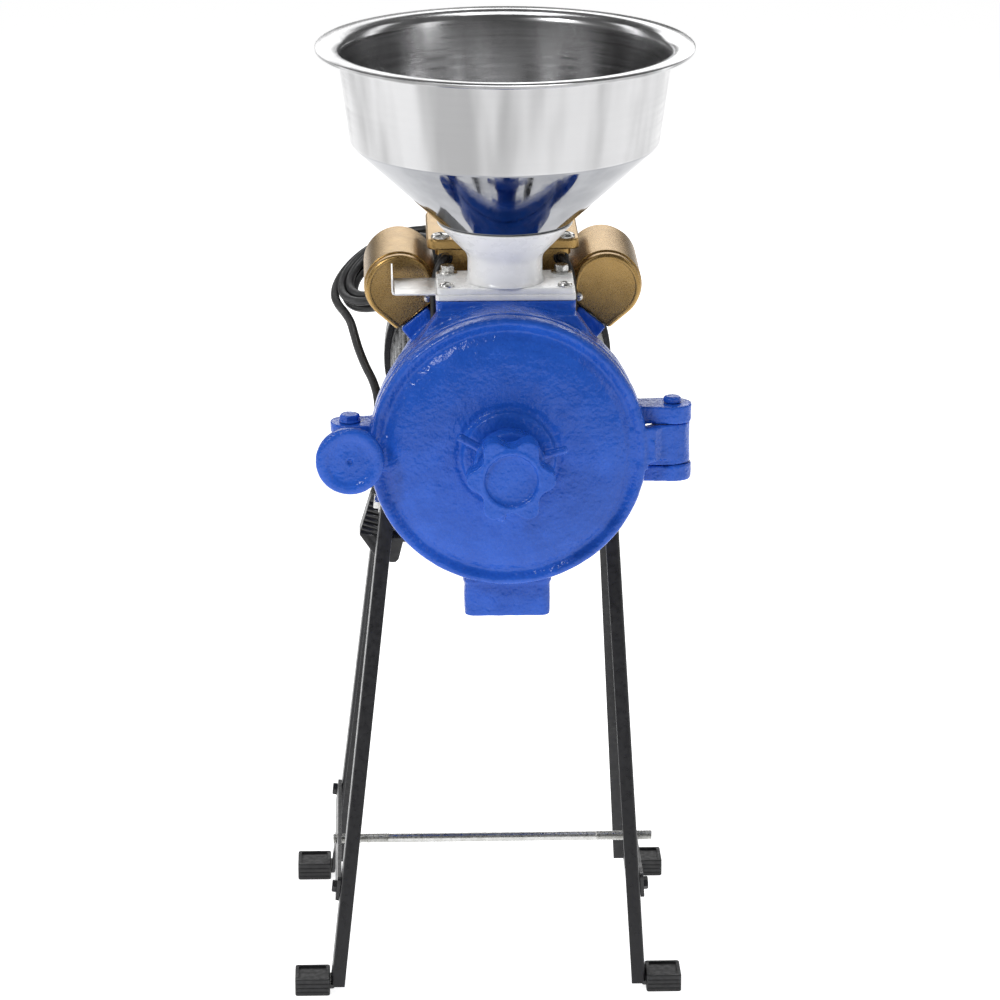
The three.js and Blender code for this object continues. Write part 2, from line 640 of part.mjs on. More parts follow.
function slideGate() {
  const { left, right, front, back, low, thick, lip } = GATE;
  return prismY([
    [left, low], [right, low], [right, low + thick], [left + thick, low + thick], [left + thick, low + lip],
    [left, low + lip],
  ], front, back);
}

function feedThroat() {
  return turnedZ([
    [28.9, THROAT_BASE.high + GAP], [28.9, 136.5], [32, 140.5], [51, 161.6], [52.4, 162.6], [50.9, 162.6],
    [27.6, 141], [26.2, 138.8], [26.2, THROAT_BASE.high + GAP],
  ], FINE).translate(0, THROAT_BASE.axis, 0);
}

function hopper() {
  return turnedZ([
    [25, 131], [25, 139], [118.2, 226], [127.4, 294], [133.5, 299.4], [142.6, 299.6], [143, 297.4], [145, 297.6],
    [145, 301], [133.2, 301], [126.1, 294.6], [116.9, 227], [23.8, 140.1], [23.8, 131],
  ], 40).translate(0, HOPPER_AXIS, 0);
}

add('throat_base', 'white', throatBase());
add('slide_gate', 'steel', slideGate());
add('feed_throat', 'white', feedThroat());
add('hopper', 'steel', hopper());

// ---------- stand ----------
// A side of the stand is a leaning plane. Its own frame has x' = 0 on the outer face of the legs,
// y as on the machine, and z' = 0 at the leg tops, running up along the legs.
function placeOnSide(side, geometry) {
  return geometry.rotateY(-side.sign * radians(side.lean)).translate(side.x, 0, LEG.topZ);
}

// x of a side's plane at the given height, moved inwards by the given distance.
function sideX(side, z, inwards = 0) {
  const slope = Math.tan(radians(side.lean));
  return side.x + side.sign * ((LEG.topZ - z) * slope - inwards / Math.cos(radians(side.lean)));
}

function along(side, z) {
  return (z - LEG.topZ) / Math.cos(radians(side.lean));
}

function sidePrism(side, points, from, to) {
  const ends = [side.sign * from, side.sign * to].sort((a, b) => a - b);
  return placeOnSide(side, prismX(points, ends[0], ends[1]));
}

function sideRod(side, y, z, radius, from, to, sides = SMALL) {
  return sidePrism(side, circlePoints(y, along(side, z), radius, sides), from, to);
}

function legY(pair, z) {
  const share = (LEG.topZ - z) / (LEG.topZ - (LEG.tabHigh - SHAFT_HEIGHT));
  return pair.top + (pair.bottom - pair.top) * share;
}

function leg(side, pair) {
  const { plate, face, tab, tabLow, tabHigh } = LEG;
  const half = LEG.side / 2;
  const bottom = tabLow - SHAFT_HEIGHT + 1;
  const [top, low] = [legY(pair, LEG.topZ), legY(pair, bottom)];
  const end = along(side, bottom);
  const flange = sidePrism(side, [[top - half, 0], [top + half, 0], [low + half, end], [low - half, end]], -plate, 0);
  const edge = -pair.inward * half;
  const inner = edge + pair.inward * plate;
  const front = sidePrism(side, [[top + edge, 0], [top + inner, 0], [low + inner, end], [low + edge, end]], -face, 0);
  const foot = sideX(side, bottom);
  const xs = [foot - side.sign * plate, foot + side.sign * tab].sort((a, b) => a - b);
  const toe = box(xs[0], xs[1], low - half, low + half, tabLow - SHAFT_HEIGHT, tabHigh - SHAFT_HEIGHT);
  const hole = sideRod(side, legY(pair, LEG_BOLT.z), LEG_BOLT.z, LEG_BOLT.hole, -plate - 1, 1);
  return cut(join(flange, front, toe), hole);
}

function rubberFoot(side, pair) {
  const { tab, tabLow, tabHigh } = LEG;
  const bottom = tabLow - SHAFT_HEIGHT + 1;
  const y = legY(pair, bottom);
  const inner = sideX(side, bottom) + side.sign * 0.5;
  const outer = sideX(side, bottom) + side.sign * (tab + 3);
  const [x0, x1] = [inner, outer].sort((a, b) => a - b);
  const block = prismZ(roundedRectangle(x0, x1, y - FOOT.deep / 2, y + FOOT.deep / 2, 2.5, 8),
    -SHAFT_HEIGHT, FOOT.high - SHAFT_HEIGHT);
  const tabEnd = sideX(side, bottom) + side.sign * (tab + GAP);
  const [p0, p1] = [inner - side.sign * 5, tabEnd].sort((a, b) => a - b);
  const half = LEG.side / 2 + GAP;
  const pocket = box(p0, p1, y - half, y + half, tabLow - GAP - SHAFT_HEIGHT, tabHigh + GAP - SHAFT_HEIGHT);
  return cut(block, pocket);
}

function footBracket([y0, y1], pair) {
  const { low, high, plate } = BRACKETS;
  const skin = LEG.plate + GAP;
  const [a, b] = [LEFT_SIDE, RIGHT_SIDE];
  const channel = prismY([
    [sideX(a, high, skin), high], [sideX(a, low, skin), low], [sideX(b, low, skin), low], [sideX(b, high, skin), high],
    [sideX(b, high, skin + plate), high], [sideX(b, low + plate, skin + plate), low + plate],
    [sideX(a, low + plate, skin + plate), low + plate], [sideX(a, high, skin + plate), high],
  ], y0, y1);
  const holes = [a, b].map((side) => (
    sideRod(side, legY(pair, LEG_BOLT.z), LEG_BOLT.z, LEG_BOLT.hole, -LEG.plate - plate - 2, 0)
  ));
  return cut(channel, ...holes);
}

function legBolt(side, pair) {
  const { radius, head, headThick, z, behind } = LEG_BOLT;
  const y = legY(pair, z);
  return join(sideRod(side, y, z, head, GAP, GAP + headThick, 6), sideRod(side, y, z, radius, -behind - 6, 1));
}

function brace(side) {
  const { front, back, high, thick, z } = BRACE;
  const middle = along(side, z);
  const points = roundedRectangle(front, back, middle - high / 2, middle + high / 2, 3, 8);
  const plate = sidePrism(side, points, GAP, GAP + thick);
  return cut(plate, sideRod(side, ROD.y, z, ROD.radius + 0.5, -1, thick + 1));
}

function crossRod() {
  const { radius, y, left, right } = ROD;
  return prismX(circlePoints(y, BRACE.z, radius, SMALL), left, right);
}

const SIDES = [['left', LEFT_SIDE], ['right', RIGHT_SIDE]];
const PAIRS = [['front', FRONT_LEG], ['rear', REAR_LEG]];
for (const [row, pair] of PAIRS) {
  add(`${row}_foot_bracket`, 'black', footBracket(BRACKETS[row], pair));
  for (const [flank, side] of SIDES) {
    add(`${row}_${flank}_leg`, 'black', leg(side, pair));
    add(`${row}_${flank}_rubber_foot`, 'rubber', rubberFoot(side, pair));
    add(`${row}_${flank}_leg_bolt`, 'zinc', legBolt(side, pair));
  }
}
for (const [flank, side] of SIDES) {
  add(`${flank}_brace`, 'black', brace(side));
}
add('cross_rod', 'zinc', crossRod());

// ---------- mains cord ----------
const LEAD_IN = [
  [-25, 232.3, 108], [-25, 240, 108], [-26, 249, 107.8], [-30, 260, 107], [-38, 271.5, 105.3], [-50, 281.5, 102.6],
  [-62, 287.3, 99.9], [-72.5, 289.9, 98],
];
const TAIL = [
  [-105.6, 293.3, 81.7], [-116.8, 288.7, 73.9], [-125.9, 278.8, 65.9], [-131.3, 266, 58.8], [-132.4, 251.3, 53.5],
  [-129.3, 238.3, 49.7], [-124.6, 228.2, 46.4], [-120, 217, 41.5], [-117, 206, 34], [-113.8, 195, 25.5],
  [-108.5, 182, 15], [-103, 169, 7], [-99.5, 153, 0], [-98.2, 136, -8], [-98, 124, -13.4], [-98, 112.3, -18.8],
  [-98, 103.1, -25.5], [-98, 97, -35.2], [-98, 95.2, -41.5], [-98, 95, -45.6],
];
const PLUG = { x: -98, y: 95, front: 84, back: 106, bootTop: -46, bootTip: 4.8, bootWide: 7.5, top: -62 };
const BLADE = { x: -80, z: -97, long: 18, wide: 6.3, thick: 1.5, apart: 12.7, tilt: 23, inside: 4 };

function cordGland() {
  const { x, z, nut, taper, tip, bore, hole, back } = GLAND;
  const start = BOX.back - BOX.wall;
  return turnedY([
    [bore, start], [hole, start], [hole, BOX.back + GAP], [nut, BOX.back + GAP], [nut, BOX.back + 7],
    [taper, BOX.back + 8], [tip, back], [bore, back],
  ], 20).translate(x, 0, z);
}

function cordCoil() {
  const { mean, half, x, y, z, tiltX, tiltY } = COIL;
  const bevel = half - 2.6;
  const ring = turnedZ([
    [mean - half, -bevel], [mean - bevel, -half], [mean + bevel, -half], [mean + half, -bevel],
    [mean + half, bevel], [mean + bevel, half], [mean - bevel, half], [mean - half, bevel],
  ], 24);
  return ring.rotateX(radians(tiltX)).rotateY(radians(tiltY)).translate(x, y, z);
}

function plug() {
  const { x, y, front, back, bootTop, bootTip, bootWide, top } = PLUG;
  const body = prismY([
    [-114.6, -96], [-105.5, -66], [-103, -63], [-99, -61.5], [-92, -62.5], [-79.5, -84], [-78.5, -97], [-83.5, -117],
    [-86, -119.6], [-90, -119.6], [-93, -118], [-101, -114], [-103, -113],
  ], front, back);
  const boot = turnedZ([[0, top - 6], [bootWide, top - 6], [bootTip, bootTop], [0, bootTop]], SMALL);
  const { long, wide, thick, apart, tilt, inside } = BLADE;
  const blades = [-1, 1].map((side) => (
    box(-inside, long, (side * apart) / 2 - thick / 2, (side * apart) / 2 + thick / 2, -wide / 2, wide / 2)
      .rotateY(radians(tilt)).translate(BLADE.x, (front + back) / 2, BLADE.z)
  ));
  return join(body, boot.translate(x, y, 0), ...blades);
}

add('cord_gland', 'black', cordGland());
add('cord_lead_in', 'black', tube(LEAD_IN, CORD.radius, CORD.sides, 7));
add('cord_coil', 'black', cordCoil());
add('cord_tail', 'black', tube(TAIL, CORD.radius, CORD.sides, 20));
add('plug', 'black', plug());

// ---------- the whole machine, centred and standing on z = 0 ----------
const CORD_NAMES = ['cord_gland', 'cord_lead_in', 'cord_coil', 'cord_tail', 'plug'];
const bounds = new THREE.Box3();
for (const mesh of machine.children) {
  if (!CORD_NAMES.includes(mesh.name)) bounds.expandByObject(mesh, true);
}
const centre = bounds.getCenter(new THREE.Vector3());
machine.position.set(-centre.x, -centre.y, SHAFT_HEIGHT);

const mill = new THREE.Group();
mill.add(machine);

export default mill;
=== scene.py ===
"""Looks for the electric disc mill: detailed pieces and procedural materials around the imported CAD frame."""

import math

import bmesh
import bpy
from mathutils import Euler, Matrix, Vector, noise


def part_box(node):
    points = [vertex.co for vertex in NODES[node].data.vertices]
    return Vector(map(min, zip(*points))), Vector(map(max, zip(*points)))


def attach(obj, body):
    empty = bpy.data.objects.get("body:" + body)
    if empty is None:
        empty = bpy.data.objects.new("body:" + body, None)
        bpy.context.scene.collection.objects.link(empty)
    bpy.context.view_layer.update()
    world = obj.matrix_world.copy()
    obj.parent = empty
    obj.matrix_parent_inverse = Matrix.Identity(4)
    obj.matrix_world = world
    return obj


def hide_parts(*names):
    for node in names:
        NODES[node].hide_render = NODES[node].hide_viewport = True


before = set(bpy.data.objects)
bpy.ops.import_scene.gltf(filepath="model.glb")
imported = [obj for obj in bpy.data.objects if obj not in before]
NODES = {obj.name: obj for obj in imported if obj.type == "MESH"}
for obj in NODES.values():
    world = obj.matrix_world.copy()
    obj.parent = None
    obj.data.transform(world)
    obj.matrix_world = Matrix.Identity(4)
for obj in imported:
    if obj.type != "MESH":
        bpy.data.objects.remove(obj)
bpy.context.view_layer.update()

MM = 0.001
SCENE = bpy.context.scene


# ---------------------------------------------------------------- machine frame
# Sizes below are millimetres in the mill's own frame: x to the right, y away from the front with 0 where
# the cover meets the chamber, and z up from the axis of the main shaft, whose front end is at SHAFT_FRONT.

SHAFT_FRONT = 2.6


def middle(node):
    low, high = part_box(node)
    return (Vector(low) + Vector(high)) / 2


ORIGIN = Vector((
    middle("main_shaft").x,
    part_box("main_shaft")[0][1] - SHAFT_FRONT * MM,
    middle("main_shaft").z,
))


def at(x, y, z):
    """A place in the mill's frame, in millimetres, as a place in the row's frame, in metres."""
    return ORIGIN + Vector((x, y, z)) * MM


X_AXIS = Vector((1, 0, 0))
Y_AXIS = Vector((0, 1, 0))
Z_AXIS = Vector((0, 0, 1))


# ---------------------------------------------------------------- camera, floor and light

CAMERA = {"distance": 3400.0, "side": -112.8, "height": 1476.0, "heading": 1.8, "down": 17.61, "lens": 166.86}


def make_camera():
    data = bpy.data.cameras.new("camera")
    data.lens = CAMERA["lens"]
    data.sensor_width = 36.0
    data.clip_end = 20.0
    camera = bpy.data.objects.new("camera", data)
    spot = at(CAMERA["side"], -CAMERA["distance"], 0)
    spot.z = CAMERA["height"] * MM
    camera.location = spot
    camera.rotation_euler = Euler((
        math.radians(90 - CAMERA["down"]),
        0,
        math.radians(-CAMERA["heading"]),
    ))
    SCENE.collection.objects.link(camera)
    SCENE.camera = camera


def area_light(name, place, target, size, power):
    data = bpy.data.lights.new(name, "AREA")
    data.shape = "RECTANGLE"
    data.size = size[0]
    data.size_y = size[1]
    data.energy = power
    light = bpy.data.objects.new(name, data)
    light.location = place
    light.rotation_euler = (Vector(target) - Vector(place)).to_track_quat("-Z", "Y").to_euler()
    SCENE.collection.objects.link(light)


AIM = (0, 0, 0.5)
LIGHTS = {
    "key": ((-1.5, -1.6, 2.0), AIM, (0.4, 0.6), 25),
    "fill": ((1.9, -1.3, 1.0), AIM, (0.6, 1.4), 5),
    "left_strip": ((-1.5, 0.5, 1.1), AIM, (0.4, 1.6), 6),
    "right_strip": ((1.5, 0.5, 1.1), AIM, (0.4, 1.6), 5),
    "top": ((0.0, -0.1, 2.2), AIM, (1.0, 0.8), 12),
    "back": ((0.0, 2.6, 1.7), (0, 0, 0.8), (3.0, 1.1), 26),
}
WORLD_STRENGTH = 0.17
FLOOR = {"edge": 6.0, "tint": 0.93, "roughness": 0.9, "glow": 0.8}


def make_floor():
    mesh = bpy.data.meshes.new("floor")
    edge = FLOOR["edge"]
    corners = [(-edge, -edge, 0), (edge, -edge, 0), (edge, edge, 0), (-edge, edge, 0)]
    mesh.from_pydata(corners, [], [(0, 1, 2, 3)])
    floor = bpy.data.objects.new("floor", mesh)
    SCENE.collection.objects.link(floor)
    paper = bpy.data.materials.new("white_paper")
    paper.use_nodes = True
    shader = paper.node_tree.nodes["Principled BSDF"]
    shader.inputs["Base Color"].default_value = (*[FLOOR["tint"]] * 3, 1)
    shader.inputs["Roughness"].default_value = FLOOR["roughness"]
    shader.inputs["Emission Color"].default_value = (1, 1, 1, 1)
    shader.inputs["Emission Strength"].default_value = FLOOR["glow"]
    mesh.materials.append(paper)


def make_studio():
    world = bpy.data.worlds.new("studio")
    world.use_nodes = True
    world.node_tree.nodes["Background"].inputs["Color"].default_value = (1, 1, 1, 1)
    world.node_tree.nodes["Background"].inputs["Strength"].default_value = WORLD_STRENGTH
    SCENE.world = world
    for name, (place, target, size, power) in LIGHTS.items():
        area_light(name, place, target, size, power)
    make_floor()


make_camera()
make_studio()
SCENE.view_settings.view_transform = "Standard"
SCENE.view_settings.look = "None"


# ---------------------------------------------------------------- shape helpers

def link(obj, material, body, *stands_for, slot=None):
    """Puts a piece in the scene, on its body, with its finish and the CAD nodes that it stands for."""
    SCENE.collection.objects.link(obj)
    if material:
        obj.data.materials.clear()
        obj.data.materials.append(material)
    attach(obj, body)
    if stands_for:
        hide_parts(*stands_for)
    return obj


def shade_smooth(mesh):
    for face in mesh.polygons:
        face.use_smooth = True


def mesh_object(name, points, faces):
    mesh = bpy.data.meshes.new(name)
    mesh.from_pydata(points, [], faces)
    mesh.validate()
    build = bmesh.new()
    build.from_mesh(mesh)
    bmesh.ops.remove_doubles(build, verts=build.verts, dist=1e-6)
    bmesh.ops.recalc_face_normals(build, faces=build.faces)
    build.to_mesh(mesh)
    build.free()
    shade_smooth(mesh)
    return bpy.data.objects.new(name, mesh)


def sharpen(obj, degrees=35):
    """Keeps hard edges crisp on an otherwise smooth piece."""
    limit = math.radians(degrees)
    build = bmesh.new()
    build.from_mesh(obj.data)
    for edge in build.edges:
        if len(edge.link_faces) == 2:
            edge.smooth = edge.calc_face_angle(0) < limit
    build.to_mesh(obj.data)
    build.free()
    return obj


def bevel(obj, width, segments=3, degrees=30):
    modifier = obj.modifiers.new("bevel", "BEVEL")
    modifier.width = width * MM
    modifier.segments = segments
    modifier.limit_method = "ANGLE"
    modifier.angle_limit = math.radians(degrees)
    modifier.harden_normals = True
    return obj


def smooth_path(points, steps=6):
    """A list of 2-D or 3-D points made into a smooth curve through all of them."""
    points = [Vector(p) for p in points]
    result = []
    for i in range(len(points) - 1):
        before = points[max(i - 1, 0)]
        start = points[i]
        end = points[i + 1]
        after = points[min(i + 2, len(points) - 1)]
        for step in range(steps):
            t = step / steps
            result.append(
                0.5 * (
                    2 * start
                    + (end - before) * t
                    + (2 * before - 5 * start + 4 * end - after) * t * t
                    + (3 * start - before - 3 * end + after) * t * t * t
                )
            )
    result.append(points[-1])
    return result


def rounded(outline, radius, steps=5):
    """Rounds every corner of an outline of 2-D points; radius is a number or one for each corner."""
    result = []
    count = len(outline)
    for i, corner in enumerate(outline):
        corner = Vector(corner)
        reach = radius[i] if isinstance(radius, (list, tuple)) else radius
        if reach <= 0:
            result.append(tuple(corner))
            continue
        to_before = Vector(outline[i - 1]) - corner
        to_after = Vector(outline[(i + 1) % count]) - corner
        angle = to_before.angle(to_after)
        trim = min(reach / math.tan(angle / 2), to_before.length * 0.499, to_after.length * 0.499)
        start = corner + to_before.normalized() * trim
        end = corner + to_after.normalized() * trim
        for step in range(steps + 1):
            t = step / steps
            point = start * (1 - t) ** 2 + corner * 2 * t * (1 - t) + end * t * t
            result.append(tuple(point))
    return result


def arc(centre, radius, start, end, steps=8):
    """2-D points along an arc, angles in degrees."""
    return [
        (
            centre[0] + radius * math.cos(math.radians(start + (end - start) * i / steps)),
            centre[1] + radius * math.sin(math.radians(start + (end - start) * i / steps)),
        )
        for i in range(steps + 1)
    ]


def frame_along(axis):
    """Two directions square to an axis, so that (side, up, axis) is right-handed."""
    axis = Vector(axis).normalized()
    helper = Z_AXIS if abs(axis.z) < 0.9 else X_AXIS
    side = helper.cross(axis).normalized()
    return side, axis.cross(side), axis


def turned(name, profile, centre=(0, 0, 0), axis=Y_AXIS, segments=96):
    """A turned piece: (along, radius) points in millimetres, closed into a ring or a solid."""
    side, up, along = frame_along(axis)
    origin = at(*centre)
    points = []
    faces = []
    for k in range(segments):
        turn = 2 * math.pi * k / segments
        outward = side * math.cos(turn) + up * math.sin(turn)
        for distance, radius in profile:
            points.append(origin + (along * distance + outward * radius) * MM)
    count = len(profile)
    for k in range(segments):
        following = (k + 1) % segments
        for i in range(count):
            j = (i + 1) % count
            faces.append((k * count + i, k * count + j, following * count + j, following * count + i))
    obj = mesh_object(name, points, faces)
    build = bmesh.new()
    build.from_mesh(obj.data)
    bmesh.ops.dissolve_degenerate(build, dist=1e-7, edges=build.edges)
    bmesh.ops.remove_doubles(build, verts=build.verts, dist=2e-6)
    bmesh.ops.recalc_face_normals(build, faces=build.faces)
    build.to_mesh(obj.data)
    build.free()
    return obj


def extruded(name, outline, place, across, up, start, end):
    """A flat outline in the (across, up) plane at place, carried from start to end along their normal."""
    across = Vector(across).normalized()
    up = Vector(up).normalized()
    along = across.cross(up)
    origin = at(*place)
    build = bmesh.new()
    build.faces.new([
        build.verts.new(origin + (across * p[0] + up * p[1] + along * start) * MM) for p in outline
    ])
    made = bmesh.ops.extrude_face_region(build, geom=list(build.faces), use_keep_orig=True)
    shift = along * (end - start) * MM
    carried = [item for item in made["geom"] if isinstance(item, bmesh.types.BMVert)]
    bmesh.ops.translate(build, verts=carried, vec=shift)
    bmesh.ops.recalc_face_normals(build, faces=build.faces)
    mesh = bpy.data.meshes.new(name)
    build.to_mesh(mesh)
    build.free()
    shade_smooth(mesh)
    return bpy.data.objects.new(name, mesh)


def upright(name, outline, low, high):
    """An (x, y) outline between two heights."""
    return extruded(name, outline, (0, 0, 0), X_AXIS, Y_AXIS, low, high)


def level(name, outline, front, back):
    """An (x, z) outline between two distances from the front."""
    return extruded(name, outline, (0, 0, 0), X_AXIS, Z_AXIS, -back, -front)


def between(name, outline, place, across, up, low, high):
    """An outline square to y, from low to high along y whichever way its own normal points."""
    if across.cross(up).y < 0:
        low, high = -high, -low
    return extruded(name, outline, place, across, up, low, high)


def polar(degrees, radius=1.0):
    """A point on a circle round the shaft."""
    angle = math.radians(degrees)
    return radius * math.cos(angle), 0, radius * math.sin(angle)


def tube(name, points, radius, steps):
    """A round cord along the smooth path through some points."""
    data = bpy.data.curves.new(name, "CURVE")
    data.dimensions = "3D"
    data.bevel_depth = radius * MM
    data.bevel_resolution = 5
    data.use_fill_caps = True
    path = smooth_path(points, steps)
    spline = data.splines.new("POLY")
    spline.points.add(len(path) - 1)
    for target, point in zip(spline.points, path):
        target.co = (*at(*point), 1)
    return bpy.data.objects.new(name, data)


def apply_modifiers(obj):
    """Turns a piece's modifiers into plain mesh."""
    linked = obj.name in SCENE.collection.objects
    if not linked:
        SCENE.collection.objects.link(obj)
    graph = bpy.context.evaluated_depsgraph_get()
    mesh = bpy.data.meshes.new_from_object(obj.evaluated_get(graph))
    obj.modifiers.clear()
    obj.data = mesh
    if not linked:
        SCENE.collection.objects.unlink(obj)
    return obj


# ---------------------------------------------------------------- power cord
# The route repeats the CAD's: out of the strain relief, four turns of coil behind the left capacitor,
# and down the left side to the plug, which hangs under the chamber.

CORD = {"diameter": 7.0, "length": 1.34}
LEAD_IN = [
    (-25, 232.3, 108), (-25, 240, 108), (-26, 249, 107.8), (-30, 260, 107), (-38, 271.5, 105.3),
    (-50, 281.5, 102.6), (-62, 287.3, 99.9), (-72.5, 289.9, 98),
]
COIL = {
    "centre": (-88, 248, 76), "radius": 38.0, "offset": 3.6, "tilt": 16, "turn": -28,
    "start": 62, "end": 105, "turns": 4, "steps": 28, "meet": 10.3, "ease": 55, "change": 0.8,
}
TAIL = [
    (-105.6, 293.3, 81.7), (-116.8, 288.7, 73.9), (-125.9, 278.8, 65.9), (-131.3, 266, 58.8),
    (-132.4, 251.3, 53.5), (-129.3, 238.3, 49.7), (-124.6, 228.2, 46.4), (-120, 217, 41.5),
    (-117, 206, 34), (-113.8, 195, 25.5), (-108.5, 182, 15), (-103, 169, 7), (-99.5, 153, 0),
    (-98.2, 136, -8), (-98, 124, -13.4), (-98, 112.3, -18.8), (-98, 103.1, -25.5), (-98, 97, -35.2),
    (-98, 95.2, -41.5), (-98, 95, -45.6),
]


# ---------------------------------------------------------------- finishes

class Finish:
    """A procedural material whose colour, roughness and relief come from noise in the piece's own space."""

    def __init__(self, name, colour, roughness, metallic=0.0):
        self.material = bpy.data.materials.new(name)
        self.material.use_nodes = True
        self.tree = self.material.node_tree
        self.shader = self.tree.nodes["Principled BSDF"]
        self.shader.inputs["Base Color"].default_value = (*colour, 1)
        self.shader.inputs["Roughness"].default_value = roughness
        self.shader.inputs["Metallic"].default_value = metallic
        self.place = self.tree.nodes.new("ShaderNodeTexCoord").outputs["Object"]
        self.height = None

    def set(self, socket, value):
        self.shader.inputs[socket].default_value = value
        return self

    def stretched(self, stretch, centre=(0, 0, 0)):
        """The piece's space, moved to a centre and scaled differently along each axis."""
        node = self.tree.nodes.new("ShaderNodeMapping")
        node.inputs["Location"].default_value = [-c * s for c, s in zip(centre, stretch)]
        node.inputs["Scale"].default_value = stretch
        self.tree.links.new(self.place, node.inputs["Vector"])
        return node.outputs["Vector"]

    def noise(self, size, detail=2.0, rough=0.5, space=None):
        """Noise with features about that many millimetres across, from 0 to 1."""
        node = self.tree.nodes.new("ShaderNodeTexNoise")
        node.inputs["Scale"].default_value = 1 / (size * MM)
        node.inputs["Detail"].default_value = detail
        node.inputs["Roughness"].default_value = rough
        self.tree.links.new(space or self.place, node.inputs["Vector"])
        return node.outputs["Fac"]

    def cells(self, size):
        node = self.tree.nodes.new("ShaderNodeTexVoronoi")
        node.inputs["Scale"].default_value = 1 / (size * MM)
        self.tree.links.new(self.place, node.inputs["Vector"])
        return node.outputs["Distance"]

    def range(self, source, low, high, to_low=0.0, to_high=1.0):
        node = self.tree.nodes.new("ShaderNodeMapRange")
        node.interpolation_type = "SMOOTHSTEP"
        for name, value in (("From Min", low), ("From Max", high), ("To Min", to_low), ("To Max", to_high)):
            node.inputs[name].default_value = value
        self.tree.links.new(source, node.inputs["Value"])
        return node.outputs["Result"]

    def mix(self, factor, a, b):
        node = self.tree.nodes.new("ShaderNodeMix")
        node.data_type = "RGBA"
        self.tree.links.new(factor, node.inputs["Factor"])
        for socket, value in ((node.inputs[6], a), (node.inputs[7], b)):
            if isinstance(value, tuple):
                socket.default_value = (*value, 1)
            else:
                self.tree.links.new(value, socket)
        return node.outputs[2]

    def colour(self, output):
        self.tree.links.new(output, self.shader.inputs["Base Color"])
        return self

    def roughness(self, output):
        self.tree.links.new(output, self.shader.inputs["Roughness"])
        return self

    def relief(self, height, depth, strength=1.0):
        """Adds a bump that many millimetres deep."""
        node = self.tree.nodes.new("ShaderNodeBump")
        node.inputs["Distance"].default_value = depth * MM
        node.inputs["Strength"].default_value = strength
        self.tree.links.new(height, node.inputs["Height"])
        if self.height:
            self.tree.links.new(self.height, node.inputs["Normal"])
        self.height = node.outputs["Normal"]
        self.tree.links.new(self.height, self.shader.inputs["Normal"])
        return self


def cast_paint(name, body, deep, pale, roughness):
    """Glossy paint over a pebbly casting, with deeper patches and a fine paler grain."""
    finish = Finish(name, body, roughness)
    finish.set("Coat Weight", 0.05).set("Coat Roughness", 0.06).set("Specular IOR Level", 0.3)
    patches = finish.range(finish.noise(26, 3), 0.35, 0.7)
    grain = finish.range(finish.noise(2.2, 3, 0.6), 0.35, 0.75, 0.0, 0.16)
    finish.colour(finish.mix(grain, finish.mix(patches, deep, body), pale))
    finish.roughness(finish.range(finish.noise(9, 3), 0.3, 0.7, roughness - 0.07, roughness + 0.08))
    finish.relief(finish.noise(9, 2, 0.5), 0.8, 1.2)
    finish.relief(finish.noise(3.2, 2, 0.5), 0.75, 0.9)
    return finish.material


def hammered_gold():
    """Metallic gold paint sprayed thickly enough to leave a fine dark speckle."""
    finish = Finish("gold_hammer_paint", (0.34, 0.215, 0.07), 0.32, 0.94)
    speck = finish.range(finish.noise(0.55, 2, 0.7), 0.35, 0.7)
    cloud = finish.range(finish.noise(16, 3), 0.3, 0.7)
    warm = finish.mix(cloud, (0.28, 0.168, 0.048), (0.37, 0.235, 0.08))
    pits = finish.range(finish.cells(1.5), 0.06, 0.2)
    finish.colour(finish.mix(pits, (0.14, 0.08, 0.025), finish.mix(speck, warm, (0.50, 0.33, 0.135))))
    finish.roughness(finish.range(speck, 0, 1, 0.24, 0.4))
    finish.relief(finish.noise(0.8, 2, 0.6), 0.12, 0.5)
    return finish.material


def brushed_steel(name, tint, roughness, axis_place, reflection_streak_contrast=0.3):
    """Sheet steel spun on a lathe: fine rings round the axis, and soft painted reflection bands along it,
    lighter and darker, in the colour.
    """
    finish = Finish(name, tint, roughness, 1.0)
    fine = finish.stretched((3, 3, 260), axis_place)
    rings = finish.noise(1000, 4, 0.7, fine)
    # painted reflection: soft lighter and darker bands running along the axis, painted into the base colour in
    # place of reflected studio light
    painted_reflection_streaks = finish.noise(58, 3, 0.55, finish.stretched((1, 1, 0.12), axis_place))
    dark = tuple(c * (1 - reflection_streak_contrast) for c in tint)
    light = tuple(min(1.0, c * (1 + reflection_streak_contrast * 0.6)) for c in tint)
    finish.colour(finish.mix(finish.range(painted_reflection_streaks, 0.36, 0.62), dark, light))
    finish.roughness(finish.range(rings, 0.3, 0.7, roughness - 0.05, roughness + 0.07))
    finish.relief(rings, 0.012, 0.25)
    finish.set("Anisotropic", 0.4)
    return finish.material


def polished_steel():
    finish = Finish("polished_cone", (0.28, 0.285, 0.30), 0.07, 1.0)
    smear = finish.noise(30, 3)
    finish.colour(finish.mix(finish.range(smear, 0.3, 0.7), (0.25, 0.255, 0.27), (0.32, 0.325, 0.34)))
    finish.roughness(finish.range(finish.noise(7, 3), 0.3, 0.7, 0.05, 0.11))
    finish.relief(finish.noise(24, 2), 0.12, 0.3)
    return finish.material


def machined(name, tint, roughness, stain):
    """Turned or ground metal with tool marks and stains."""
    finish = Finish(name, tint, roughness, 1.0)
    blotch = finish.range(finish.noise(6, 4, 0.6), 0.35, 0.7)
    finish.colour(finish.mix(blotch, tint, stain))
    finish.roughness(finish.range(finish.noise(2, 3), 0.3, 0.7, roughness - 0.08, roughness + 0.12))
    finish.relief(finish.noise(0.7, 3, 0.6), 0.06, 0.5)
    return finish.material


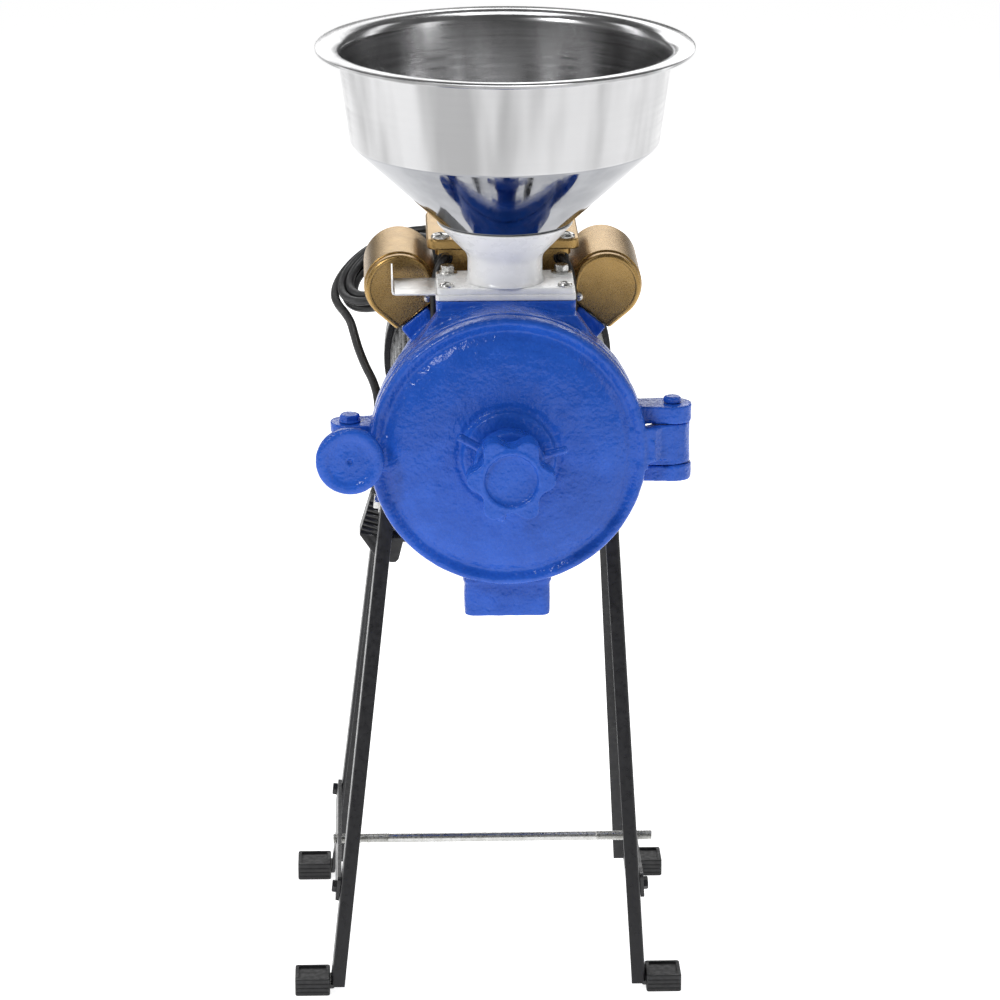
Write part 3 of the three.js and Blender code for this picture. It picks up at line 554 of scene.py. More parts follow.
def milky_plastic():
    finish = Finish("white_plastic", (0.90, 0.90, 0.895), 0.3)
    finish.set("Subsurface Weight", 0.35).set("Subsurface Radius", (0.012, 0.012, 0.012))
    finish.set("Subsurface Scale", 0.5).set("Coat Weight", 0.15).set("Coat Roughness", 0.2)
    flow = finish.range(finish.noise(22, 2, 0.5, finish.stretched((1, 1, 0.35))), 0.3, 0.7)
    finish.colour(finish.mix(flow, (0.88, 0.88, 0.875), (0.94, 0.94, 0.93)))
    finish.roughness(finish.range(finish.noise(9, 3), 0.3, 0.7, 0.24, 0.34))
    finish.relief(finish.noise(9, 2), 0.06, 0.3)
    return finish.material


def black_finish(name, colour, roughness, grain, depth):
    """Black paint, plastic or rubber, with grain and a little dust."""
    finish = Finish(name, colour, roughness)
    dust = finish.range(finish.noise(18, 4, 0.6), 0.4, 0.75)
    finish.colour(finish.mix(dust, colour, tuple(c * 1.25 for c in colour)))
    finish.roughness(finish.range(finish.noise(4, 3), 0.3, 0.7, roughness - 0.08, roughness + 0.1))
    finish.relief(finish.noise(grain, 3, 0.6), depth, 0.5)
    return finish.material


HOPPER_AXIS = at(0, 68, 0)
BLUE = cast_paint("blue_cast_paint", (0.018, 0.102, 0.54), (0.012, 0.082, 0.46), (0.045, 0.165, 0.70), 0.2)
GOLD = hammered_gold()
# the last number sets how strong the painted reflection bands in the bowl's colour are
BOWL_STEEL = brushed_steel("hopper_bowl_steel", (0.43, 0.43, 0.435), 0.2, HOPPER_AXIS, 0.32)
CONE_STEEL = polished_steel()
GATE_STEEL = machined("gate_steel", (0.88, 0.88, 0.87), 0.42, (0.80, 0.80, 0.80))
PLASTIC = milky_plastic()
IRON = machined("cast_iron", (0.24, 0.235, 0.23), 0.5, (0.13, 0.115, 0.105))
ZINC = machined("zinc_steel", (0.66, 0.66, 0.65), 0.26, (0.42, 0.41, 0.39))
ROD_ZINC = machined("rod_zinc", (0.60, 0.60, 0.585), 0.3, (0.50, 0.50, 0.48))
SHAFT = machined("shaft_steel", (0.58, 0.58, 0.58), 0.25, (0.45, 0.44, 0.42))
CORE = machined("core_steel", (0.30, 0.30, 0.32), 0.45, (0.2, 0.18, 0.16))
MOTOR_BLACK = black_finish("motor_black_paint", (0.012, 0.012, 0.014), 0.32, 2.0, 0.25)
PLASTIC_BLACK = black_finish("black_plastic", (0.014, 0.014, 0.015), 0.36, 0.7, 0.08)
LEG_BLACK = black_finish("leg_black_paint", (0.009, 0.009, 0.011), 0.34, 5, 0.02)
RUBBER = black_finish("foot_rubber", (0.010, 0.010, 0.011), 0.55, 0.9, 0.1)
CORD_BLACK = black_finish("cord_rubber", (0.012, 0.012, 0.013), 0.45, 0.8, 0.06)

SLOT_FINISH = {
    "blue_cast_paint": BLUE, "gold_hammer_paint": GOLD, "hopper_steel": BOWL_STEEL, "gate_steel": GATE_STEEL,
    "white_plastic": PLASTIC, "cast_iron": IRON, "zinc_steel": ZINC, "shaft_steel": SHAFT,
    "motor_black_paint": MOTOR_BLACK, "core_steel": CORE, "black_plastic": PLASTIC_BLACK,
    "leg_black_paint": LEG_BLACK, "foot_rubber": RUBBER, "cord_rubber": CORD_BLACK,
}

for holder in NODES.values():
    for material_slot in holder.material_slots:
        material_slot.material = SLOT_FINISH[material_slot.material.name.split(".")[0]]


# ---------------------------------------------------------------- the cord itself

def eased(t):
    t = max(0.0, min(1.0, t))
    return t * t * (3 - 2 * t)


def mixed(a, b, t):
    return tuple(p * (1 - t) + q * t for p, q in zip(a, b))


COIL_CENTRE = Vector(COIL["centre"])
COIL_SPIN = (
    Matrix.Rotation(math.radians(COIL["turn"]), 3, "Y") @ Matrix.Rotation(math.radians(COIL["tilt"]), 3, "X")
)


def coil_turns():
    """Four turns in two layers of two, worked out on the coil's tilted ring."""
    offset = COIL["offset"]
    lanes = [(offset, offset), (-offset, offset), (-offset, -offset), (offset, -offset)]
    ring = (COIL["meet"], 0.0)
    sweep = 360 * COIL["turns"] + COIL["end"] - COIL["start"]
    lane_length = sweep / COIL["turns"]
    count = COIL["steps"] * COIL["turns"]
    points = []
    for i in range(1, count):
        travelled = i / count * sweep
        lane = int(travelled / lane_length)
        done = travelled / lane_length - lane
        change = eased((done - COIL["change"]) / (1 - COIL["change"]))
        place = mixed(lanes[lane], lanes[min(lane + 1, len(lanes) - 1)], change)
        place = mixed(ring, place, eased(travelled / COIL["ease"]))
        out, high = mixed(ring, place, eased((sweep - travelled) / COIL["ease"]))
        angle = math.radians(COIL["start"] + travelled)
        radius = COIL["radius"] + out
        local = Vector((radius * math.cos(angle), radius * math.sin(angle), high))
        points.append(tuple(COIL_CENTRE + COIL_SPIN @ local))
    return points


def make_cord():
    cord = tube("power_cord", LEAD_IN + coil_turns() + TAIL, CORD["diameter"] / 2, 3)
    return link(cord, CORD_BLACK, "frame", "cord_lead_in", "cord_coil", "cord_tail")


def make_cord_gland():
    """The threaded gland in the junction box's back wall and its ribbed, tapered strain relief."""
    profile = [
        (188.8, 3.8), (188.8, 7.5), (192.0, 7.5), (192.3, 10.6), (193.0, 11.0), (198.6, 11.0), (199.2, 10.4),
    ]
    ribs = 7
    for rib in range(ribs):
        t = rib / ribs
        start = 200 + 30 * t
        radius = 8.6 - 3.4 * t
        profile += [(start, radius), (start + 2.4, radius - 0.2)]
        profile += [(start + 2.8, radius - 1.2), (start + 3.9, radius - 1.3)]
    profile += [(231.6, 4.9), (232.0, 4.4), (232.0, 3.8)]
    gland = turned("cord_strain_relief", profile, (LEAD_IN[0][0], 0, LEAD_IN[0][2]), segments=40)
    sharpen(gland)
    return link(gland, PLASTIC_BLACK, "frame", "cord_gland")


def make_cord_tie():
    """A square tie round the coil's turns."""
    angle = math.radians(-60)
    radial = Vector((math.cos(angle), math.sin(angle), 0))
    hub = COIL_CENTRE + COIL_SPIN @ (radial * COIL["radius"])
    outward = COIL_SPIN @ radial
    upward = COIL_SPIN @ Z_AXIS
    along = COIL_SPIN @ Vector((-math.sin(angle), math.cos(angle), 0))
    half = 8.0
    section = rounded([(-half, -half), (half, -half), (half, half), (-half, half)], 3.6, 5)
    points = []
    faces = []
    for inset in (0.0, 0.9):
        for side in (-1.3, 1.3):
            for p, q in section:
                scale = (half - inset) / half
                points.append(at(*(hub + outward * p * scale + upward * q * scale + along * side)))
    count = len(section)
    for i in range(count):
        j = (i + 1) % count
        faces += [
            (i, j, count + j, count + i), (2 * count + i, 3 * count + i, 3 * count + j, 2 * count + j),
            (i, 2 * count + i, 2 * count + j, j), (count + i, count + j, 3 * count + j, 3 * count + i),
        ]
    tie = mesh_object("cord_tie", points, faces)
    sharpen(tie)
    return link(tie, PLASTIC_BLACK, "frame")


cord = make_cord()
gland = make_cord_gland()
tie = make_cord_tie()


# ---------------------------------------------------------------- castings
# A casting is put together from turned and extruded solids, cut where it is hollow, then remeshed finely and
# relaxed, which leaves the soft fillets and slightly uneven skin of sand-cast iron under thick paint.

HINGE = {"x": 127.0, "y": 14.0, "ear": 15.0, "top": 31.5, "upper": 18.0, "hole": 5.3}
CLAMP = {"x": -121.0, "y": 15.0, "inner": 10.0, "outer": 18.0}
DRUM_RADIUS = 106.7


def combine(obj, others, operation):
    """Adds or cuts other solids, which are used up."""
    for other in others:
        SCENE.collection.objects.link(other)
        modifier = obj.modifiers.new(other.name, "BOOLEAN")
        modifier.operation = operation
        modifier.solver = "MANIFOLD"
        modifier.object = other
    apply_modifiers(obj)
    for other in others:
        bpy.data.objects.remove(other)
    return obj


def cast_skin(obj, grain, relax, lumps=0.0, lump_size=14.0):
    """Remeshes a solid, relaxes it, and gives its skin slow lumps of that many millimetres."""
    remesh = obj.modifiers.new("remesh", "REMESH")
    remesh.mode = "VOXEL"
    remesh.voxel_size = grain * MM
    remesh.use_smooth_shade = True
    if relax:
        smooth = obj.modifiers.new("relax", "SMOOTH")
        smooth.iterations = relax
        smooth.factor = 0.5
    apply_modifiers(obj)
    if lumps:
        scale = 1 / (lump_size * MM)
        normals = [v.normal.copy() for v in obj.data.vertices]
        for vertex, normal in zip(obj.data.vertices, normals):
            vertex.co += normal * (noise.noise(vertex.co * scale) * lumps * MM)
    shade_smooth(obj.data)
    return obj


def disc(name, radius, start, end, place=(0, 0, 0), axis=Y_AXIS, segments=128):
    return turned(name, [(start, 0), (start, radius), (end, radius), (end, 0)], place, axis, segments)


def block(name, low, high, corner=0.0):
    """A box between two corners, its upright edges rounded."""
    x0, y0, z0 = low
    x1, y1, z1 = high
    outline = [(x0, y0), (x1, y0), (x1, y1), (x0, y1)]
    if corner:
        outline = rounded(outline, corner, 6)
    return upright(name, outline, z0, z1)


def ear_outline(x, y, radius, reach, half):
    """A round-ended ear in plan, from x = reach to round the pin at (x, y)."""
    if x > reach:
        return [(reach, y - half), *arc((x, y), radius, -90, 90, 20), (reach, y + half)]
    return [(reach, y + half), *arc((x, y), radius, 90, 270, 20), (reach, y - half)]


def make_chamber():
    body = turned("chamber_casting", [
        (0.15, 0), (0.15, 103.2), (0.6, 105.4), (2.2, DRUM_RADIUS), (8, DRUM_RADIUS), (9.6, 105.3),
        (37, 104.6), (39.4, 103), (40, 100.5), (40, 0),
    ], segments=160)
    parts = [
        disc("feed_tube", 45, 39, 96),
        turned("rear_flange", [(88, 0), (88, 60), (89, 62), (95, 62), (96, 61), (96, 0)]),
        block("neck", (-40, 39, 10), (40, 92, 99)),
        block("top_flange", (-53.8, 38.2, 98), (53.8, 95.8, 105.7), 4),
        level("gusset", [(-53.8, 98.5), (53.8, 98.5), (70, 76), (-70, 76)], 22, 40),
        block("foot_pad", (-30, 46, -88.5), (30, 88, -20), 3),
        block("spout", (-33.3, 4, -137.8), (33.3, 38, -70), 8),
        upright("spout_band", rounded([(-34.6, 3.2), (34.6, 3.2), (34.6, 38.8), (-34.6, 38.8)], 9, 6),
                -110.5, -104),
    ]
    for low, high in ((HINGE["upper"], HINGE["top"]), (-28.0, -15.5)):
        outline = ear_outline(HINGE["x"], HINGE["y"], HINGE["ear"], 90, 11)
        parts.append(upright("hinge_ear", outline, low, high))
    for low, high in ((CLAMP["inner"], CLAMP["outer"]), (-CLAMP["outer"], -CLAMP["inner"])):
        parts.append(upright("clamp_ear", ear_outline(CLAMP["x"], 17, 15, -90, 15), low, high))
    combine(body, parts, "UNION")
    cuts = [
        disc("cavity", 97, -1, 32, segments=160),
        block("spout_hole", (-29, 8.3, -139), (29, 33.7, -88), 4),
        disc("screw_bore", 24, 31, 93),
        disc("shaft_bore", 13, 92, 97, segments=64),
        disc("feed_hole", 23, 0, 107, (0, 68, 0), Z_AXIS, 96),
        disc("hinge_hole", HINGE["hole"], -29, 33, (HINGE["x"], HINGE["y"], 0), Z_AXIS, 48),
        disc("clamp_hole", 6.5, -19, 19, (CLAMP["x"], CLAMP["y"], 0), Z_AXIS, 48),
    ]
    combine(body, cuts, "DIFFERENCE")
    cast_skin(body, 1.0, 5, 0.35, 11)
    link(body, BLUE, "frame", "chamber_housing", "feed_inlet")


def make_cover():
    face = [
        (-24.4, 11.0), (-25.0, 12.0), (-25.0, 32.6), (-24.4, 34.6), (-22.6, 35.6), (-20.8, 36.4),
        (-20.0, 37.6), (-20.2, 39.6), (-20.9, 42), (-20.8, 50), (-20.2, 60), (-18.9, 72), (-16.9, 82),
        (-14.4, 89.4), (-12.2, 93.2), (-11.2, 95.2), (-11.3, 96.8), (-12.6, 98.6), (-14.0, 100.6),
        (-14.6, 102.6), (-14.2, 104.4), (-12.8, 105.8), (-10.2, 106.6), (-4, 106.8), (-0.15, 106.4),
        (-0.15, 92), (-8, 88), (-14.2, 76), (-14.2, 11.0),
    ]
    body = turned("cover_casting", face, (0, 0, 0), segments=192)
    arm = [
        (92, -12.2), (104, -13.0), (113, -9.4), (118, -3.4),
        *arc((HINGE["x"], HINGE["y"]), 13.8, -70, 180, 24), (110, 4), (104, -0.5), (92, -0.5),
    ]
    upper = upright("arm", arm, -14.8, 17.3)
    web_outline = rounded([(86, -11), (86, 11), (113, 8.4), (113, -8.4)], [0, 0, 3, 3], 4)
    web = level("arm_web", web_outline, -11.5, -1.0)
    lug = upright("clamp_lug", [
        (-88, -1), (-88, -13), (CLAMP["x"] - 10, -13), (CLAMP["x"] - 15, -9), (CLAMP["x"] - 15, -1),
    ], -13, 13)
    combine(body, [upper, web, lug], "UNION")
    cuts = [
        block("arm_relief_low", (107.5, -20, -16), (145, -0.4, -10)),
        disc("hinge_hole", HINGE["hole"], -29, 33, (HINGE["x"], HINGE["y"], 0), Z_AXIS, 48),
        disc("clamp_notch", 5.6, -20, 2, (CLAMP["x"], 0, 0), segments=48),
    ]
    combine(body, cuts, "DIFFERENCE")
    cast_skin(body, 0.85, 4, 0.3, 12)
    link(body, BLUE, "cover", "cover")


def star_outline(lobe, valley, count=6, steps=144):
    """Round lobes with rounder hollows between them."""
    points = []
    for i in range(steps):
        angle = 2 * math.pi * i / steps
        wave = math.cos(count * angle)
        shaped = math.copysign(abs(wave) ** 0.8, wave)
        radius = (lobe + valley) / 2 + (lobe - valley) / 2 * shaped
        points.append((radius * math.cos(angle), radius * math.sin(angle)))
    return points


def make_star_knob():
    star = level("star_knob_casting", star_outline(33.7, 25.2), -85.6, -66)
    parts = [
        turned("knob_hub", [(-67, 0), (-67, 18), (-62, 15.6), (-54, 15.0), (-54, 0)], segments=96),
        turned("knob_rim", [
            (-84, 19.0), (-84, 24.2), (-85.4, 24.0), (-86.0, 22.9), (-86.0, 21.4), (-85.4, 20.4),
        ], segments=96),
    ]
    combine(star, parts, "UNION")
    cuts = [
        turned("knob_recess", [(-90, 0), (-90, 20.6), (-86, 20.6), (-83.2, 19.4), (-82.8, 17), (-82.8, 0)],
               (0, 0, 0), segments=96),
        disc("screw_hole", 8.4, -80, -53, segments=64),
    ]
    combine(star, cuts, "DIFFERENCE")
    cast_skin(star, 0.55, 5, 0.25, 9)
    link(star, BLUE, "knob", "star_knob")


def make_lock_nut():
    nut = turned("lock_nut_casting", [
        (-50, 9), (-50, 24.6), (-49, 26.4), (-47.6, 27), (-36.6, 27), (-35.4, 26.2), (-34.6, 23.6),
        (-33.6, 22.4), (-26.2, 22), (-25.3, 21.2), (-25.3, 9),
    ], segments=96)
    pins = []
    for angle in (15, 150, 262):
        out = Vector(polar(angle))
        pins.append(turned("lock_pin", [(20, 0), (20, 3.2), (43.6, 3.2), (45.2, 2.4), (45.5, 0)],
                           (0, -42.5, 0), out, 32))
    combine(nut, pins, "UNION")
    cast_skin(nut, 0.55, 3, 0.2, 8)
    link(nut, BLUE, "lock_nut", "lock_nut")


def make_handwheel():
    wheel = turned("handwheel_casting", [
        (-30.4, 0), (-30.8, 1.6), (-32.3, 2.5), (-32.6, 4), (-32.2, 8), (-32.4, 14), (-32.9, 16.6),
        (-34.2, 18.8), (-34.8, 21.2), (-34.7, 23.4), (-33.8, 25.2), (-32.2, 26.2), (-29.6, 26.3),
        (-27.2, 26.1), (-25.4, 25), (-24.4, 22.6), (-23.6, 13.6), (-22.4, 12.2), (-13.3, 11.5),
        (-13.3, 5.3), (-29, 5.3), (-29, 0),
    ], (CLAMP["x"], 0, 0), segments=112)
    cast_skin(wheel, 0.6, 3, 0.2, 8)
    link(wheel, BLUE, "clamp_wheel", "handwheel")


make_chamber()
make_cover()
make_star_knob()
make_lock_nut()
make_handwheel()


# ---------------------------------------------------------------- fasteners

def hexagon(radius, turn=0.0):
    return [
        (radius * math.cos(math.radians(60 * i + turn)), radius * math.sin(math.radians(60 * i + turn)))
        for i in range(6)
    ]


def spun(axis, turn):
    """Two directions square to an axis, turned round it by some degrees."""
    side, up, along = frame_along(axis)
    angle = math.radians(turn)
    across = side * math.cos(angle) + up * math.sin(angle)
    return across, along.cross(across)


def phillips_head(name, place, axis, radius, height, turn=20.0):
    """A pan-head screw with a cross recess, standing on place and facing along axis."""
    dome = [
        (0, 0), (0, radius), (height * 0.3, radius), (height * 0.7, radius * 0.84),
        (height * 0.93, radius * 0.5), (height, 0),
    ]
    head = turned(name, dome, place, axis, 40)
    across, other = spun(axis, turn)
    arm = radius * 0.62
    half = radius * 0.13
    recess = [(-arm, -half), (arm, -half), (arm, half), (-arm, half)]
    cutters = [
        extruded("slot", recess, place, a, b, height * 0.35, height + 1)
        for a, b in ((across, other), (other, -across))
    ]
    combine(head, cutters, "DIFFERENCE")
    bevel(head, 0.15, 2, 25)
    link(head, ZINC, "frame")


def hex_bolt(name, place, axis, flats, height, finish=ZINC, washer=True, turn=0.0):
    """A chamfered hexagon head, mostly on a washer."""
    across, other = spun(axis, turn)
    corner = flats / 2 / math.cos(math.radians(30))
    low = 1.0 if washer else 0.0
    head = extruded(name, hexagon(corner), place, across, other, low, low + height)
    chamfer = turned("chamfer", [
        (-1, 0), (-1, corner * 1.2), (low + height * 0.6, corner * 1.08),
        (low + height * 1.01, corner * 0.84), (low + height * 1.01, 0),
    ], place, axis, 48)
    combine(head, [chamfer], "INTERSECT")
    if washer:
        ring = turned("washer", [(0, 0), (0, flats * 0.82), (1.0, flats * 0.82), (1.4, 0)], place, axis, 48)
        combine(head, [ring], "UNION")
    bevel(head, 0.25, 2, 25)
    return link(head, finish, "frame")


# ---------------------------------------------------------------- hopper, throat and gate

FEED_AXIS = (0, 68, 0)
THROAT_HALF = 54.0


def make_hopper():
    outer = [
        (131, 25), (139, 25), (139.6, 25.3), (224.6, 117.4), (226.4, 118.4), (228.4, 118.9), (292, 127.2),
    ]
    outer += [(296.0, 128.6), (298.6, 131.4), (299.5, 135), (299.6, 141.2), (299.0, 142.9), (297.9, 143.6)]
    lip = [(297.6, 144.3), (298.4, 145.0), (300.2, 145.0), (301.0, 144.0), (301.0, 134.6), (300.4, 131.4)]
    inner = [(298.4, 128.6), (295.0, 126.4), (292, 125.9), (229.6, 117.7), (227.4, 117.1), (225.6, 116.0),
             (139.4, 23.8), (138.6, 23.6), (131, 23.6)]
    bowl = turned("hopper_bowl", outer + lip + inner, FEED_AXIS, Z_AXIS, 240)
    sharpen(bowl, 40)
    bowl.data.materials.append(BOWL_STEEL)
    bowl.data.materials.append(CONE_STEEL)
    join_height = at(0, 0, 226.5).z
    for face in bowl.data.polygons:
        face.material_index = 1 if face.center.z < join_height else 0
    link(bowl, None, "hopper", "hopper", slot="hopper_steel")


def make_throat():
    outer = [
        (116.3, 30.6), (117.4, 29.4), (119.6, 28.9), (133.5, 28.9), (136.6, 29.6), (139.4, 31.2),
        (160.2, 50.8), (161.6, 52.0), (162.4, 52.4), (162.9, 51.8), (162.7, 50.9),
    ]
    inner = [(161.8, 50.2), (141.2, 28.4), (138.6, 26.6), (135.8, 26.2), (116.3, 26.2)]
    throat = turned("feed_throat_moulding", outer + inner, FEED_AXIS, Z_AXIS, 160)
    sharpen(throat, 50)
    link(throat, PLASTIC, "frame", "feed_throat")


def make_throat_base():
    """Two moulded plates with the gate's slot between them and a raised seat for the throat."""
    half = THROAT_HALF
    lower = block("throat_base_moulding", (-half, 40, 106), (half, 96, 110.6), 4)
    bevel(lower, 0.7, 3)
    apply_modifiers(lower)
    upper = block("upper_plate", (-half + 0.8, 40.6, 110.4), (half - 0.8, 95.6, 116), 4.5)
    bevel(upper, 1.2, 4)
    apply_modifiers(upper)
    combine(lower, [upper], "UNION")
    slot = block("gate_slot", (-half - 2, 43.4, 109.4), (30, 92.6, 111.9))
    hole = disc("grain_hole", 25, 104, 118, FEED_AXIS, Z_AXIS, 96)
    combine(lower, [slot, hole], "DIFFERENCE")
    sharpen(lower, 40)
    link(lower, PLASTIC, "frame", "throat_base")
    for side, label in ((-1, "left"), (1, "right")):
        hex_bolt(f"throat_bolt_{label}", (side * 44.5, 88, 116), Z_AXIS, 10, 5.4, turn=12)
        phillips_head(f"throat_screw_{label}", (side * 45.5, 47, 116), Z_AXIS, 5.6, 3.4, turn=25 * side)


def make_gate():
    strip = [(27, 109.9), (27, 111.2), (-84.6, 111.2), (-86.2, 112.0), (-86.8, 113.6), (-86.8, 122.9),
             (-88, 122.9), (-88, 112.6), (-87.2, 110.6), (-85.0, 109.9)]
    gate = level("gate_strip", strip, 44, 92)
    bevel(gate, 0.25, 2, 50)
    link(gate, GATE_STEEL, "gate", "slide_gate")


make_hopper()
make_throat()
make_throat_base()
make_gate()


# ---------------------------------------------------------------- capacitors, junction box and leads

POD = {
    "x": 81.0, "z": 99.0, "radius": 28.0, "front": 104.0, "back": 202.0, "base": 25.0, "outer": 24.0,
    "inner": 18.0,
}
POD_ANGLE = math.atan2(POD["z"], POD["x"])


def pod_point(side, u, w):
    """A point in a housing's own plane, w away from the shaft and u across it, as (x, z)."""
    x = POD["x"] - u * math.sin(POD_ANGLE) + w * math.cos(POD_ANGLE)
    z = POD["z"] + u * math.cos(POD_ANGLE) + w * math.sin(POD_ANGLE)
    return side * x, z


def pod_outline(side, grow=0.0):
    """A round top running down on two tangents to the corners of a flat base."""
    radius = POD["radius"] + grow
    base = POD["base"] + grow * 0.3
    outer = POD["outer"] + grow
    inner = POD["inner"] + grow
    right = -math.pi / 2 + math.atan2(inner, base) + math.acos(radius / math.hypot(inner, base))
    left = 3 * math.pi / 2 - math.atan2(outer, base) - math.acos(radius / math.hypot(outer, base))
    steps = 48
    outline = [(-outer, -base), (inner, -base)]
    for i in range(steps + 1):
        angle = right + (left - right) * i / steps
        outline.append((radius * math.cos(angle), radius * math.sin(angle)))
    return [pod_point(side, u, w) for u, w in outline]


def pod_slice(side, name, grow, start, end):
    return level(name, pod_outline(side, grow), start, end)


def make_pod(side, label):
    """A pressed housing: a front cap with a rounded raised edge, and the barrel that slides over it."""
    barrel = pod_slice(side, f"{label}_capacitor_barrel", 0.0, POD["front"] + 9, POD["back"] - 9)
    bevel(barrel, 1.1, 4, 60)
    rear = pod_slice(side, f"{label}_capacitor_rear_cap", -1.4, POD["back"] - 10, POD["back"])
    bevel(rear, 3.0, 5, 60)
    front = pod_slice(side, f"{label}_capacitor_front_cap", -1.2, POD["front"] + 0.4, POD["front"] + 10)
    bevel(front, 2.6, 5, 60)
    for piece in (barrel, rear, front):
        apply_modifiers(piece)
    pan = pod_slice(side, "pan", -5.2, POD["front"] - 2, POD["front"] + 1.3)
    combine(front, [pan], "DIFFERENCE")
    bevel(front, 0.8, 3, 40)
    for piece in (barrel, rear, front):
        link(piece, GOLD, "frame", f"{label}_capacitor_housing")
    spot = pod_point(side, 12.5, -POD["base"] + 5.2)
    screw_place = (spot[0], POD["front"] + 1.0, spot[1])
    phillips_head(f"{label}_flange_screw", screw_place, -Y_AXIS, 3.8, 2.4, turn=35 * side)


def make_junction_box():
    lid = block("junction_box_cover", (-59.5, 105, 129.5), (59.5, 200, 138), 9)
    bevel(lid, 1.8, 4, 40)
    apply_modifiers(lid)
    link(lid, GOLD, "frame", "junction_box_lid")
    for index, (x, y) in enumerate(((-49, 114), (49, 114), (-49, 191), (49, 191))):
        phillips_head(f"lid_screw_{index + 1}", (x, y, 138), Z_AXIS, 7.4, 3.6, turn=17 + 31 * index)

    body = block("junction_box_casting", (-49.5, 112, 62), (49.5, 192, 129.3), 5)
    parts = [block("lip", (-53, 109.5, 124.5), (53, 194.5, 129.3), 6)]
    combine(body, parts, "UNION")
    cuts = [
        turned("motor_room", [(100, 0), (100, 92.4), (115.3, 92.4), (115.3, 88.3), (210, 88.3), (210, 0)]),
        block("front_recess", (-35.5, 108, 78), (35.5, 113.4, 122.5)),
        block("back_recess", (10, 190.8, 84), (40, 196, 122.5)),
        block("left_recess", (-52, 126, 84), (-48.4, 178, 122.5)),
        block("right_recess", (48.4, 126, 84), (52, 178, 122.5)),
        disc("gland_hole", 8.5, 185, 200, (LEAD_IN[0][0], 0, LEAD_IN[0][2]), segments=48),
    ]
    combine(body, cuts, "DIFFERENCE")
    bevel(body, 0.9, 3, 35)
    apply_modifiers(body)
    link(body, GOLD, "frame", "junction_box_body")


def make_leads():
    """Two short leads, each out of the box through a grommet and down in front of the motor."""
    for side, label in ((-1, "left"), (1, "right")):
        route = [(45, 112.5, 122), (46, 108, 122), (49.5, 102.4, 118.8), (52.6, 100.2, 111), (54, 100, 100),
                 (54.3, 100, 86), (54, 100, 71)]
        lead = tube(f"{label}_lead", [(side * x, y, z) for x, y, z in route], 3.3, 6)
        link(lead, CORD_BLACK, "frame", f"{label}_capacitor_lead")
        grommet = turned(f"{label}_grommet", [
            (-2.2, 3.5), (-2.6, 4.4), (-2.2, 5.6), (-1.0, 6.1), (0.2, 5.4), (0.2, 3.5),
        ], (side * 45.4, 112, 122), Y_AXIS, 40)
        link(grommet, RUBBER, "frame")


for pod_side, pod_label in ((-1, "left"), (1, "right")):
    make_pod(pod_side, pod_label)
make_junction_box()
make_leads()


# ---------------------------------------------------------------- motor

def pod_pad(side, start, end, inner=-20.0, outer=7.0):
    """A lug on the motor that carries one end of a capacitor housing."""
    reach = math.hypot(POD["x"], POD["z"]) - POD["base"] - 0.4
    across = Vector((-math.sin(POD_ANGLE) * side, 0, math.cos(POD_ANGLE)))
    outward = Vector((math.cos(POD_ANGLE) * side, 0, math.sin(POD_ANGLE)))
    corners = [(inner, 70), (outer, 70), (outer, reach), (inner, reach)]
    corners = rounded(corners, [0, 0, 2.0, 2.0], 4)
    plan = [across * u + outward * w for u, w in corners]
    return level(f"pad_{side}", [(p.x, p.z) for p in plan], start, end)


def make_front_bell():
    bell = turned("motor_bell_casting", [
        (97.3, 11), (97.3, 88), (98.4, 90.8), (100.6, 92), (115, 92), (115, 82), (107, 82), (107, 30),
        (114, 30), (114, 21.3), (101, 21.3), (101, 11),
    ], segments=160)
    pads = [pod_pad(side, POD["front"], 115.0) for side in (-1, 1)]
    ribs = []
    for angle in (0, 180, 225, 270, 315):
        out = Vector(polar(angle))
        ribs.append(turned("bolt_boss", [(99, 0), (99, 6.5), (115, 7.0), (115, 0)], tuple(out * 83.5)))
    combine(bell, pads + ribs, "UNION")
    holes = [disc("lead_hole", 3.9, 66, 95, (54 * side, 100, 0), Z_AXIS, 32) for side in (-1, 1)]
    combine(bell, holes, "DIFFERENCE")
    cast_skin(bell, 1.0, 3, 0.25, 10)
    link(bell, BLUE, "frame", "motor_front_bell")


def make_stator_shell():
    """The motor's tube: a plain band at each end and lengthwise cooling ribs pressed between them."""
    ribs = 72
    outline = []
    for i in range(ribs):
        for step, radius in ((0.0, 85.8), (0.3, 85.8), (0.42, 87.9), (0.78, 87.9), (0.92, 85.8)):
            angle = 2 * math.pi * (i + step) / ribs
            outline.append((radius * math.cos(angle), radius * math.sin(angle)))
    shell = level("stator_tube", outline, 125, 240)
    bands = [
        turned("band", [(a, 0), (a, 87), (a + 1, 88), (b - 1, 88), (b, 87), (b, 0)], segments=144)
        for a, b in ((115.3, 128), (237, 249.7))
    ]
    pads = [pod_pad(side, 180, 194) for side in (-1, 1)]
    sole = block("sole", (-30, 130, -88.7), (30, 158, -80), 2)
    combine(shell, bands + pads + [sole], "UNION")
    hollow = [
        disc("rotor_room", 85, 114, 251, segments=144),
        disc("wire_hole", 9, 70, 95, (0, 150, 0), Z_AXIS, 48),
    ]
    combine(shell, hollow, "DIFFERENCE")
    bevel(shell, 0.5, 2, 50)
    apply_modifiers(shell)
    link(shell, MOTOR_BLACK, "frame", "stator_shell")


def make_rear_bell():
    bell = turned("rear_bell_casting", [
        (250, 10), (250, 87), (251, 88), (261, 88), (262, 87), (262, 81), (261, 80), (257, 79), (256, 77),
        (256, 30), (257, 28.6), (264, 28), (264, 21.3), (252.6, 21.3), (252.6, 10),
    ], segments=144)
    vents = [disc("vent", 9, 248, 258, polar(60 * i, 54), segments=40) for i in range(6)]
    combine(bell, vents, "DIFFERENCE")
    bevel(bell, 0.5, 2, 40)
    link(bell, MOTOR_BLACK, "frame", "rear_end_bell")


